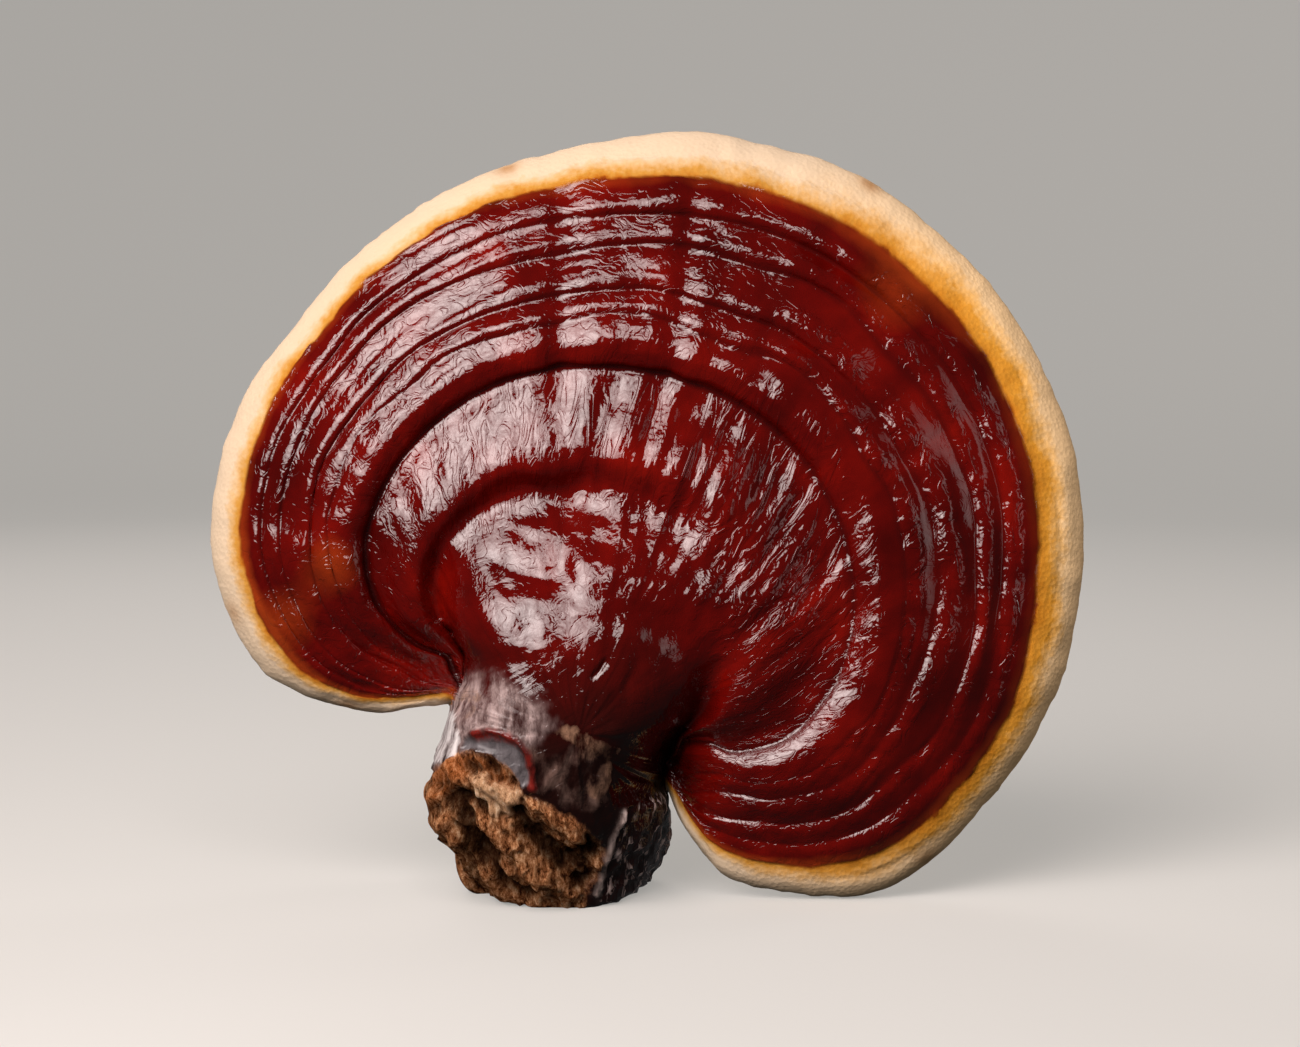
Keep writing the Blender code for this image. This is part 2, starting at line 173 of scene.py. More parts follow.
def around(curve, degrees):
    # the curve's value at each angle; it closes on itself
    at, values = np.array(curve, float).T
    at = np.concatenate([at - 360, at, at + 360])
    return cubicThrough(at, np.tile(values, 3), degrees)


def along(curve, place):
    at, values = np.array(curve, float).T
    return cubicThrough(at, values, place)


def radialProfile(radius, radii, heights):
    # cubic pieces out from the pole through the heights at the radii, straight on past the last
    radii, heights = np.stack(radii), np.stack(heights)
    step = np.diff(radii, axis=0)
    inner, last = slopesThrough(step, heights)
    slope = np.concatenate([0 * last, inner, last])
    result = heights[0]
    for k in range(len(step)):
        t = np.clip((radius - radii[k]) / step[k], 0, 1)
        piece = cubicPiece(t, step[k], heights[k : k + 2], slope[k : k + 2])
        result = np.where(radius >= radii[k], piece, result)
    return result + last[0] * np.maximum(radius - radii[-1], 0)


def smoothMax(a, b, width):
    # the larger of the two, rounded over where they come within the width of each other
    near = np.maximum(width - np.abs(a - b), 0) / width
    return np.maximum(a, b) + width * near * near / 4


def fromPath(x, h, path):
    # distance to the nearest of the path's straight runs
    nearest = np.full(x.shape, np.inf)
    for (x0, h0), (x1, h1) in zip(path[:-1], path[1:]):
        run, rise = x1 - x0, h1 - h0
        t = np.clip(((x - x0) * run + (h - h0) * rise) / (run**2 + rise**2), 0, 1)
        nearest = np.minimum(nearest, np.hypot(x - x0 - t * run, h - h0 - t * rise))
    return nearest


def insidePatch(x, h, outline, softness):
    # 1 inside a closed outline and 0 outside, by the edges that a line to the right crosses,
    # with a soft step this many mm to either side
    path = outline + outline[:1]
    inside = np.zeros(x.shape, bool)
    for (x0, h0), (x1, h1) in zip(path[:-1], path[1:]):
        if h0 != h1:
            inside ^= ((h0 > h) != (h1 > h)) & (x < x0 + (h - h0) * (x1 - x0) / (h1 - h0))
    side = np.where(inside, 1, -1) * fromPath(x, h, path)
    return softStep(-softness, softness, side)


# the fruiting body: cap, hump, stem and torn foot, one closed surface
fruitingBody = {
    "columns": 464,  # run out from the pole
    "rows": {"hump": 30, "innerRing": 28, "rings": 76, "margin": 12, "rim": 16, "back": 50},
    "closerAtClefts": 1.2,  # mm of outline that each degree near a cleft counts for
    "closerDownStem": 0.8,
    # curves round the pole
    "outline": [
        (0, 78.1), (10, 80), (20, 81.7), (30, 82.7), (40, 83.3), (50, 83.5), (57, 84.1), (64, 84),
        (70, 82.8), (80, 82.2), (90, 80.2), (100, 78.6), (110, 77.7), (120, 76.6), (130, 75.5),
        (140, 74.2), (150, 74.8), (160, 73.8), (170, 72.4), (180, 68.8), (190, 63.5), (200, 51.6),
        (204.6, 44.4), (206.6, 38.9), (210, 34.6), (215, 38.2), (220, 43.5), (224, 48.2),
        (230, 51.1), (235.5, 52), (238, 54.3), (241, 56), (249, 55.5), (256, 54.5), (263, 53.5),
        (268, 52), (272, 50.5), (275, 49), (277.5, 46), (280.3, 42), (283, 33), (284.6, 38.7),
        (287, 43.9), (290, 49.4), (300, 57.3), (304, 60.6), (310, 65.2), (320, 68.6), (330, 70.6),
        (340, 73.6), (347, 75.4), (353, 76.9),
    ],
    "lacquerEdge": [
        (0, 69.7), (20, 73), (40, 74.8), (60, 75.1), (70, 74.5), (80, 73.8), (90, 72.7),
        (100, 72.1), (110, 71.9), (120, 71.1), (130, 70.5), (140, 69.3), (150, 69.3), (160, 68.1),
        (170, 66.4), (180, 62.8), (190, 57), (200, 46.2), (206, 34), (210, 32.6), (250, 32),
        (283, 30.5), (285, 33), (290, 42.7), (300, 51), (310, 57.2), (320, 61.8), (330, 64.3),
        (340, 66.9), (350, 68.7),
    ],
    "mainGroove": [
        (0, 38.4), (30, 38.8), (50, 38.9), (70, 39.2), (80, 39.6), (90, 40.2), (100, 41.1),
        (110, 42.2), (120, 43.2), (130, 44), (140, 44.7), (150, 45.2), (160, 45.2), (170, 44.1),
        (180, 41.3), (190, 36.2), (197, 31.3), (204, 31.3), (210, 31.6), (250, 30.5), (283, 29.3),
        (288, 28.2), (294, 25.6), (302, 27.2), (306, 29.9), (313, 32.4), (320, 34.5), (330, 36),
        (340, 37.2),
    ],
    "humpEdge": [
        (0, 18), (40, 17), (70, 17.8), (80, 19), (90, 19.8), (110, 20.8), (122, 22.8), (129, 25.6),
        (141, 27.9), (150, 29.3), (160, 31), (172, 32.3), (182, 31.8), (191, 29), (198, 28.5),
        (204, 30), (210, 30.6), (250, 29.5), (283, 28), (288, 26.5), (294, 23.6), (304, 22.6),
        (320, 19.8), (335, 18.9),
    ],
    "clefts": (211, 284),  # degrees, where cap and stem meet at the outline
    "stemBetween": (208, 214, 279, 285),  # degrees: from, full, full, to
    "stemRowsBetween": (211, 230, 262, 284),
    # heights along those curves
    "poleHeight": 22.5,
    "shoulderAt": 0.6,
    "shoulderHeight": [(0, 21.2), (60, 19.5), (90, 18.8), (150, 18.3), (180, 17), (300, 21)],
    "humpEdgeHeight": [
        (0, 19.6), (30, 18.8), (60, 17.4), (75, 16.6), (90, 16.2), (120, 15.2), (150, 14),
        (172, 11.8), (182, 9.5), (191, 7), (198, 5), (206, 4), (286, 0.5), (290, 4), (294, 7),
        (304, 11), (320, 14.5), (335, 17.5),
    ],
    "innerCrestAt": 0.27,
    "innerCrestHeight": [
        (0, 18.8), (45, 18.8), (90, 18.6), (122, 17.9), (150, 17), (172, 15), (182, 12.5), (191, 9),
        (198, 6.5), (206, 4.2), (286, 1), (290, 5), (294, 8.5), (304, 13.5), (320, 16.8),
        (335, 18.2),
    ],
    "bottomInside": [(0, 1.8), (60, 1.4), (85, 0), (200, 0), (288, 0.6), (310, 1.6)],
    "grooveHeight": [
        (0, 14.5), (90, 14.5), (150, 13.5), (170, 12), (180, 10.3), (190, 7), (197, 4.8),
        (206, 3.8), (286, 0.5), (290, 4), (294, 6.5), (302, 9.5), (313, 11.8), (330, 13.6),
    ],
    "lipAt": 0.16,  # past the groove, as a share of the outer zone
    "lipRise": [(0, 1.6), (45, 1.4), (200, 1.4), (288, 1.2), (305, 1.6), (335, 1.7)],
    "outerMiddleAt": 0.55,
    "outerMiddleHeight": [
        (0, 12.4), (90, 12.2), (150, 11.7), (180, 9.6), (190, 7.8), (200, 5.8), (206, 4.2),
        (286, 1.5), (292, 5.5), (300, 8), (320, 11), (340, 12.5),
    ],
    "lacquerEdgeHeight": [
        (0, 7.6), (90, 8), (150, 7.8), (180, 6.8), (200, 4.8), (206, 4), (286, 2), (290, 4.2),
        (320, 6.4),
    ],
    "rim": {"front": 3.4, "back": -4.2, "rounding": 4.2},
    "backMiddle": -5.5,
    # growth rings between the main groove and the lacquer's edge
    "ringValleys": [0, 0.27, 0.42, 0.66, 0.81, 1],
    "ringBunching": [(0, 1), (105, 1), (135, 0.85), (155, 0.87), (180, 1)],
    "ringStrength": [
        (0, 1.6), (45, 1.5), (80, 1), (200, 1), (285, 0.6), (300, 0.85), (318, 0.8), (335, 0.6),
        (350, 1.2),
    ],
    "firstRings": [  # the first two rings fade away on the right
        [(0, 0.25), (60, 0.9), (200, 1), (290, 0.4), (330, 0.2)],
        [(0, 0.2), (50, 0.7), (90, 1), (200, 1), (290, 0.8), (330, 0.3)],
    ],
    "ringCrest": 0.15,
    "ringSteepness": [(0, 0.78), (45, 0.65), (90, 0.55), (200, 0.55), (290, 0.75)],
    "widestRing": 7,
    # the stem's sides and heights by distance up the plane
    "stemLeft": [
        (-54, -21), (-51.6, -22), (-47.6, -26.5), (-45.6, -28.2), (-42, -29.6), (-39, -32.9),
        (-33.5, -34.6), (-28, -33.4), (-21.8, -31.3), (-16.9, -29.8), (-12.4, -27.6), (-8.9, -27.3),
        (-5.5, -28.9), (0, -31), (20, -32),
    ],
    "stemRight": [
        (-54, 1.5), (-51, 3), (-47, 5), (-43.5, 6.4), (-39.2, 7.7), (-34.6, 8.4), (-30.6, 7.2),
        (-27.2, 7.4), (-22, 10), (-19.3, 12.9), (-8.3, 17.5), (0, 18.5), (20, 18),
    ],
    "stemFront": [
        (-54, 8), (-49, 11), (-42, 17), (-35, 21.6), (-28, 24.2), (-20, 25.4), (-13, 26.1),
        (-7, 26.2), (0, 24.4), (6, 21), (12, 16.5), (20, 6), (28, -14),
    ],
    "stemBack": [(-54, -21.5), (-40, -20.5), (-28, -18), (-15, -13), (0, -8), (18, -5), (30, 3)],
    "stemLeftDepth": [(-54, -4), (-30, -1.5), (-16, 1), (0, 3)],
    "stemRightDepth": [(-54, -14), (-40, -14), (-31, -10), (-24, -3), (-10, 3)],
    "stemRoundness": (3.2, 2),
    "stemEdgeRounding": 1.6,
    "blendNarrow": 1.2,
    "blendWide": 6,
    "underStem": -12,
    "sideDrop": 60,
    "sideMask": 2.2,  # mm; with the next, how far bark goes past the stem's side at the back
    "maskDrop": 18,
    "stemAtRim": 4,
}

# Folds, creases and broken bark, at their places on the plane. Sizes and depths are in mm.
relief = {
    "foldCentre": (-8, -22),  # the folds of the crust fan out from here on the inner ring
    "foldCentreOut": (-2, -4),  # and from here on the outer rings
    "furrows": [  # shallow valleys that cross the rings: path, depth, half width
        ([(-10, 70), (-10.3, 51.5), (-10.6, 41), (-11, 33), (-7.5, 23), (-8.6, 16),
          (-10.5, 8)], 0.75, 2.2),
        ([(12.3, 71), (10.3, 60), (9.5, 51.5), (8, 43), (5.1, 34.7), (3.5, 27)], 0.7, 2),
        ([(-21.3, 8), (-15.5, 6), (-9.7, 5.5)], 0.45, 1.6),
        ([(-3, -8.3), (-3.8, -9.6), (-5, -10.9)], 0.5, 0.5),
        ([(2.6, -8.5), (0.2, -13.5)], 0.35, 0.8),
    ],
    "barkEdge": [  # the bark's lower border, over the torn flesh
        (-40, -29), (-32, -27.3), (-28.6, -24.8), (-26, -23.5), (-22.1, -24.2),
        (-20, -26), (-18, -28.3), (-17.4, -30.8), (-14.8, -31.5), (-11.7, -32.7),
        (-6.9, -35.6), (-4.2, -38.8), (-3.6, -41.3), (-4.6, -45.1), (-6.2, -48.6), (-7.5, -60),
        (-40, -60),
    ],
    "flake": [  # the broken edge of the bark, curled up over the torn flesh
        (-27.1, -23.1), (-26.7, -21.5), (-24.2, -20.7), (-22.3, -20.3), (-20, -20.8),
        (-17.7, -22), (-16.4, -23.8), (-15.6, -26.8), (-15.7, -28.6), (-17, -29.4),
        (-18.2, -27.3), (-20, -25.5), (-22.2, -23.8), (-24.7, -22.8),
    ],
    "flakeLip": [
        (-24.6, -20.6), (-22.3, -20.1), (-20, -20.6), (-17.5, -21.9), (-16.1, -23.8),
        (-15.2, -26.8), (-15.2, -29),
    ],
    "frontEdge": [(-0.2, -34.1), (-1.9, -39), (-3.2, -43.8), (-4.7, -48.8)],
    "rightFacet": [(-0.2, -34.1), (-1.9, -39), (-3.2, -43.8), (-5, -60), (20, -60), (20, -28)],
    "bloom": [  # grey bloom on the bark, with a pale painted highlight in it
        (-40, -28), (-36, -19), (-30, -12.5), (-26.5, -11.6), (-20.5, -11.2), (-17.1, -13.5),
        (-13.6, -15.7), (-13.2, -18.8), (-14.7, -21.7), (-16.7, -23), (-20.2, -20.2),
        (-24.9, -20.8), (-27.8, -23.3), (-31.9, -27.1),
    ],
    "greyBark": [
        (-16.1, -23), (-10.6, -22.7), (-5.3, -23), (-3.2, -26.9), (-4, -33.5), (-8.1, -33.8),
        (-12.6, -31), (-15.6, -29.3),
    ],
    "tanPatches": [
        [(-13.2, -19.6), (-10.6, -18.8), (-8.1, -19.8), (-8.4, -21.8), (-11.2, -21.4)],
        [(-10, -20.2), (-7.8, -19.7), (-4.5, -21.2), (-1, -22.6), (1.2, -24.2), (1.7, -26.4),
         (-1.5, -27.4), (-3.6, -30.5), (-4.8, -32), (-5.6, -29), (-6.4, -25.6), (-8.6, -23.4)],
        [(-28.3, -13), (-25.5, -12.3), (-23.6, -14.5), (-23.8, -17.8), (-25.6, -18.6),
         (-27.6, -17)],
    ],
    # a near-white strip down the stem's left edge: partly bloom, partly a painted highlight
    "whiteStrip": [
        (-30.5, -17), (-28.1, -18), (-27.3, -21.2), (-28, -25.5), (-29.1, -25.3), (-33.5, -27),
        (-34, -21),
    ],
    # the torn face's upper left, painted orange as painted light where the key light falls
    "orangeFlesh": [
        (-34, -27), (-28.6, -25.3), (-25.6, -24), (-22, -24.8), (-19.3, -27.8), (-18.2, -30.3),
        (-20.6, -29.5), (-24, -27), (-27, -27.8), (-29.8, -29.5), (-33, -33),
    ],
    # a raised lump on the torn face, painted nearly cream as painted light
    "paleLump": [
        (-25.6, -28), (-23.4, -27.2), (-20.6, -28.8), (-17.6, -30.6), (-16.9, -32.6),
        (-19.4, -34.3), (-22.4, -33.4), (-24.8, -30.8),
    ],
    "tornRidges": [  # path, height (or depth), half width
        ([(-14.8, -32.3), (-10, -36), (-6.7, -40.1), (-3.9, -44.6)], 1.5, 1.6),
        ([(-23.6, -35.3), (-19.5, -39.5), (-14.8, -45), (-10, -47.6)], 1.6, 1.9),
        ([(-33, -31.5), (-30, -28.8), (-26.8, -27.6), (-24.5, -29.5)], 0.9, 1),
        ([(-17.5, -33.9), (-14.2, -38.8), (-10, -43.6)], -2.2, 1.1),
        ([(-27.8, -34.5), (-25.5, -39), (-22, -43.5), (-19.5, -48)], -2, 1.3),
    ],
    "torn": {  # mm
        "lumps": 0.7, "hollows": 0.9, "ridges": 0.8, "fineRidges": 0.5, "pits": 2.4, "paleLump": 1.6,
        "ledge": 1.3, "sunk": 1,
    },
    "heights": {  # mm at full strength, out of the surface
        "folds": 0.8, "foldCreases": 0.3, "bumps": 0.3, "humpBumps": 0.24, "fineRings": 0.11,
        "grooveLine": -0.6, "lacquerStep": 0.2, "lip": 0.9, "flake": -0.9, "edgeLine": 0.7,
        "ribs": 0.8, "margin": 0.22, "marginCrease": -0.4, "marginFibres": 0.12,
    },
    "sectors": {  # degrees from straight right: from, full, full, to
        "folded": (-60, -35, 80, 115),
        "smooth": (-55, -25, 55, 75),
        "calm": (-80, -65, -25, 5),
        # the right side, whose margin is painted paler as painted light, with a wider golden band
        "ochreAndLight": (-75, -25, 35, 75),
    },
    "pits": [(-29.1, -31.5, 2.6), (-23.5, -41, 2.4), (-7.5, -41.5, 3.2), (-8, -33, 1.6)],
    "stains": [(59.8, 83), (180.7, 66), (199, 50), (320.2, 66.5), (105, 77)],
    "stainDepth": 2,
    "stainSize": 2,
    "thinEdge": [(0, 0.5), (40, 0.9), (90, 0.7), (150, 0.7), (185, 1.6), (200, 1.6), (290, 1.2),
                 (330, 1.2)],
    "thinLacquer": [(-49, 7, 5), (48, 56, 9), (-58, -2, 6)],
}


def curves(names, degrees):
    # the values of the fruiting body's named curves at each angle
    return [around(fruitingBody[name], degrees) for name in names.split()]


def planePlace(radius, degrees):
    turn = np.radians(degrees)
    return radius * np.cos(turn), radius * np.sin(turn)


def inStem(degrees):
    # 1 in the sector that the stem leaves by, 0 where the cap has its rim
    return between(*fruitingBody["stemBetween"], degrees)


def ringPlace(radius, degrees):
    # which growth ring a point is on, counted from the main groove and wandering a little
    groove, lacquer, bunching = curves("mainGroove lacquerEdge ringBunching", degrees)
    share = np.clip((radius - groove) / (lacquer - groove), 0, 1) ** (1 / bunching)
    valleys = fruitingBody["ringValleys"]
    ring = np.interp(share, valleys, range(len(valleys)))
    wander = layeredNoise(stacked(*planePlace(3.2, degrees), 0.9 * ring), 2)
    return ring + 0.22 * np.sin(np.pi * share) * wander


def growthRings(radius, degrees):
    # each ring rises slowly from its valley and rolls over into the next: the mean of a soft
    # wave and a half sine, which has sharp valleys, both leaning outwards by a power of t
    groove, lacquer, steepness, strength = curves(
        "mainGroove lacquerEdge ringSteepness ringStrength", degrees)
    ring = ringPlace(radius, degrees)
    valleys = np.array(fruitingBody["ringValleys"] + [1.05])  # and a narrow one past the edge
    whole = np.clip(np.floor(ring), 0, len(valleys) - 2).astype(int)
    width = np.diff(valleys)[whole] * (lacquer - groove)
    t = np.clip(ring - whole, 0, 1) ** steepness
    wave = 0.5 * (0.5 - 0.5 * np.cos(2 * np.pi * t)) + 0.5 * np.sin(np.pi * t) ** 0.8
    uneven = softNoise(stacked(*planePlace(2.4, degrees), 5.3 * whole), 3)
    strength = (1 + 0.6 * uneven) * strength
    for k, share in enumerate(fruitingBody["firstRings"]):
        strength = strength * np.where(whole == k, around(share, degrees), 1)
    crest = fruitingBody["ringCrest"] * np.clip(width, 0, fruitingBody["widestRing"])
    return crest * strength * wave


def capFront(radius, degrees):
    # the lacquered face: hump, inner ring, main groove, outer zone and pale margin
    body = fruitingBody
    hump, groove, lacquer, outline, inside = curves(
        "humpEdge mainGroove lacquerEdge outline bottomInside", degrees)
    shoulder, humpHeight, crest, bottom, lipRise, middle, edge = curves(
        "shoulderHeight humpEdgeHeight innerCrestHeight grooveHeight lipRise outerMiddleHeight "
        "lacquerEdgeHeight", degrees)
    outerZone = lacquer - groove
    # distance from the pole and height; the lip fades where the groove runs down into a cleft
    profile = [
        (0 * radius, body["poleHeight"] + 0 * radius),
        (hump * body["shoulderAt"], shoulder),
        (hump, humpHeight),
        (hump + (groove - hump) * body["innerCrestAt"], crest),
        (groove - inside, bottom),
        (groove + outerZone * body["lipAt"], bottom + lipRise * softStep(3, 12, bottom)),
        (groove + outerZone * body["outerMiddleAt"], middle),
        (lacquer, edge),
        (outline, body["rim"]["front"] + 0 * radius),
    ]
    return radialProfile(radius, *zip(*profile)) + growthRings(radius, degrees)


def sideDepth(h, toRight):
    # how far out the stem's side lies, from its left side (0) to its right (1)
    left, right = (along(fruitingBody[name], h) for name in ("stemLeftDepth", "stemRightDepth"))
    return left * (1 - toRight) + right * toRight


def stemSurface(x, h, crown):
    # one side of the stem: a squarish ellipse across it, from side to side over the crown
    left, right = along(fruitingBody["stemLeft"], h), along(fruitingBody["stemRight"], h)
    across = (2 * x - left - right) / (right - left)
    inside = np.minimum(np.abs(across), 1)
    roundness = np.where(across < 0, *fruitingBody["stemRoundness"])
    arch = (1 - inside**roundness) ** (1 / roundness)
    side = sideDepth(h, softStep(-1, 1, across))
    return side + (along(crown, h) - side) * arch, np.abs(across) - inside


def frontHeight(radius, degrees):
    # cap or stem, whichever stands further out, and the stem's share of the two
    body = fruitingBody
    x, h = planePlace(radius, degrees)
    hump = around(body["humpEdge"], degrees)
    leftCap = inStem(degrees) * softStep(0.8 * hump, hump, radius)
    cap = capFront(radius, degrees) * (1 - leftCap) + body["underStem"] * leftCap
    stem, pastSide = stemSurface(x, h, body["stemFront"])
    stem = stem - body["sideDrop"] * pastSide
    width = body["blendNarrow"] + (body["blendWide"] - body["blendNarrow"]) * softStep(-4, 8, h)
    return smoothMax(cap, stem, width), softStep(-1.5, 1.5, stem - cap)


def backHeight(radius, degrees):
    # a nearly flat pore surface with the stem's ridge fading up it, and the stem's share
    body = fruitingBody
    x, h = planePlace(radius, degrees)
    share = softStep(0, 1, radius / around(body["outline"], degrees))
    pores = body["backMiddle"] * (1 - share) + body["rim"]["back"] * share
    pores = pores + body["stemAtRim"] * inStem(degrees) * share
    stem, pastSide = stemSurface(x, h, body["stemBack"])
    uneven = 0.5 * layeredNoise(stacked(x, h, 0) / 6, 2, 80)
    crossing = np.minimum(pores - stem, body["sideMask"]) - body["maskDrop"] * pastSide + uneven
    stem = stem + body["sideDrop"] * pastSide
    return -smoothMax(-pores, -stem, body["blendWide"]), softStep(-1.2, 1.2, crossing)


def edgeDepth(degrees, outline):
    # where the side's furthest-out line lies: on the plane at the rim, back round the stem
    x, h = planePlace(outline, degrees)
    return sideDepth(h, softStep(-22, 2, x)) * inStem(degrees)


def columnAngles():
    # evenly spaced along the outline, but closer beside the clefts and down the stem
    body = fruitingBody
    degrees = np.linspace(0, 360, 7201)
    step = np.hypot(*np.diff(planePlace(around(body["outline"], degrees), degrees), axis=1))
    middle = (degrees[:-1] + degrees[1:]) / 2
    fromCleft = np.min([np.abs(middle - cleft) for cleft in body["clefts"]], axis=0)
    extra = body["closerAtClefts"] * (1 - softStep(4, 12, fromCleft))
    extra = extra + body["closerDownStem"] * inStem(middle)
    length = np.concatenate([[0], np.cumsum(step + extra * np.diff(degrees))])
    return np.interp(np.arange(body["columns"]) / body["columns"] * length[-1], length, degrees)


def rowsOut(degrees):
    # distances of the front's rows from the pole: on the cap they follow the hump's edge, the
    # main groove, the growth rings and the lacquer's edge, and down the stem they spread out
    body, rows = fruitingBody, fruitingBody["rows"]
    stemShare = between(*body["stemRowsBetween"], degrees)
    rimStart = around(body["outline"], degrees) - body["rim"]["rounding"]
    breaks = [0 * degrees]
    for name, share, gap in (("humpEdge", 0.22, 3), ("mainGroove", 0.4, 2), ("lacquerEdge", 0.93, 1)):
        onCap = np.minimum(around(body[name], degrees), rimStart - gap)
        breaks.append(onCap * (1 - stemShare) + share * rimStart * stemShare)
    breaks.append(rimStart)
    powers = [1, 1, around(body["ringBunching"], degrees), 1]
    counts = [rows["hump"], rows["innerRing"], rows["rings"], rows["margin"]]
    out = []
    for start, end, power, count in zip(breaks[:-1], breaks[1:], powers, counts):
        out.append(start + (np.arange(count)[:, None] / count) ** power * (end - start))
    return np.concatenate(out)[1:]


def furrowDepth(x, h):
    # shallow bell-shaped valleys along the furrows' paths
    wander = 0.8 * layeredNoise(stacked(x, h, 0) / 7, 2, 21)
    depth = 0
    for path, deepest, halfWidth in relief["furrows"]:
        fromFurrow = fromPath(x + wander * min(halfWidth, 1), h, path)
        depth = depth + deepest * bell(fromFurrow, halfWidth)
    return depth


def brokenFoot(spot, onlyStem):
    # masks of the torn flesh, the flake, and so on: each patch's outline, roughened by noise
    x, h, d = np.moveaxis(spot, -1, 0)
    rough = 0.7 * layeredNoise(spot / (2.2, 2.2, 4), 3, 31)
    onSide = 2.5 * layeredNoise(spot / 5, 2, 33) * softStep(14, 2, d)
    u, v = x + rough, h + 0.8 * np.roll(rough, 7) + onSide
    front = softStep(-9, 0, d)
    patches = softStep(-0.35, 0.45, layeredNoise(spot / 4, 3, 35))
    masks = {
        "torn": insidePatch(u, v, relief["barkEdge"], 0.45) * softStep(-19, -12, d),
        "flake": insidePatch(x, h, relief["flake"], 0.35) * front,
        "bloom": insidePatch(u + rough, v + rough, relief["bloom"], 2.2)
                 * softStep(-10, -1, d + 3 * rough),
        "greyBark": insidePatch(u + rough, v, relief["greyBark"], 1.6) * front
                    * (1 - softStep(-4.0, 1.0, x + 2 * rough)) * (0.25 + 0.75 * patches),
        "whiteStrip": insidePatch(x + 0.5 * rough, v, relief["whiteStrip"], 0.35)
                      * softStep(-9, 0, d + 4 * rough),
        "orangeFlesh": insidePatch(u, v, relief["orangeFlesh"], 1.0) * front,
        "paleLump": insidePatch(u, v, relief["paleLump"], 0.7) * front,
        "tan": sum(insidePatch(u + rough, v, patch, 0.9) for patch in relief["tanPatches"])
               * front * (1 - softStep(-3.5, 1.5, x + 3 * rough)) * (0.5 + 0.5 * patches),
        "facet": insidePatch(x, h, relief["rightFacet"], 0.6) * softStep(-24, -17, d) * onlyStem,
    }
    masks["torn"] = masks["torn"] * (1 - masks["flake"])
    return masks


def crustFolds(x, h, radius):
    # noise of direction and distance from a centre low on the hump, or on the outer rings from
    # a second one, so that folds and creases fan out; also returns those three coordinates
    outer = softStep(15, 50, radius)[..., None]
    centre = np.array(relief["foldCentre"]) * (1 - outer) + np.array(relief["foldCentreOut"]) * outer
    fromX, fromH = x - centre[..., 0], h - centre[..., 1]
    reach = np.hypot(fromX, fromH)
    fanX, fanH = fromX / np.maximum(reach, 1), fromH / np.maximum(reach, 1)
    folds = layeredNoise(stacked(fanX * 10, fanH * 10, reach / 9), 2, 8)
    creases = creasedNoise(stacked(fanX * 18, fanH * 18, reach / 8), 1, 12)
    heights = relief["heights"]
    folds = heights["folds"] * folds + heights["foldCreases"] * creases
    return folds, stacked(fanX, fanH, reach * 0.001)


def tornFleshRelief(spot, paleLump):
    # lumps with sharp valleys and long sharp ridges, 0.4 of them broken into ledges of one step;
    # also returns 1 down in the crevices and 0 on the heights, which sets the painted shade there
    torn = relief["torn"]
    x, h, d = np.moveaxis(spot, -1, 0)
    along45 = stacked((x + 0.8 * h) / 3.0, (h - 0.8 * x) / 9, d / 5)
    lumps = torn["lumps"] * layeredNoise(spot / 6, 2, 50)
    lumps = lumps - torn["hollows"] * creasedNoise(along45 * 0.6, 2, 52)
    lumps = lumps + torn["ridges"] * creasedNoise(along45, 3, 54)
    lumps = lumps + torn["fineRidges"] * creasedNoise(along45 * (2.4, 1.6, 2.4), 2, 56)
    wander = 1.2 * layeredNoise(stacked(x, h, 0) / 5, 2, 58)
    for path, height, halfWidth in relief["tornRidges"]:
        lumps = lumps + height * bell(fromPath(x + wander, h - wander, path), halfWidth)
    for pitX, pitH, size in relief["pits"]:
        lumps = lumps - torn["pits"] * bell(np.hypot(x - pitX, h - pitH), size)
    lumps = lumps + torn["paleLump"] * paleLump
    steps = lumps / torn["ledge"]
    ledges = torn["ledge"] * (np.floor(steps) + softStep(0.2, 0.7, steps % 1))
    return 0.6 * lumps + 0.4 * ledges - torn["sunk"], 1 - softStep(-0.8, 0.9, lumps)


def marginRelief(spot, radius, degrees, across):
    # uneven flesh, and in front a shallow crease along the margin and short ones across it
    heights = relief["heights"]
    uneven = heights["margin"] * layeredNoise(spot / 5, 4, 70)
    creaseShare = 0.5 + 0.5 * softNoise(spot / 12 * (1, 1, 0), 71)
    crease = bell(across - 0.42 - 0.1 * creaseShare, 0.08) * creaseShare
    fibres = softNoise(stacked(*planePlace(45, degrees), radius / 6), 72)
    return uneven, heights["marginFibres"] * fibres + heights["marginCrease"] * crease


def surfaceNormals(place):
    # row direction times column direction, over the closed columns
    outwards = np.gradient(place, axis=0)
    alongRow = np.roll(place, -1, axis=1) - np.roll(place, 1, axis=1)
    normal = np.cross(outwards, alongRow)
    return normal / np.maximum(np.linalg.norm(normal, axis=-1, keepdims=True), 1e-9)


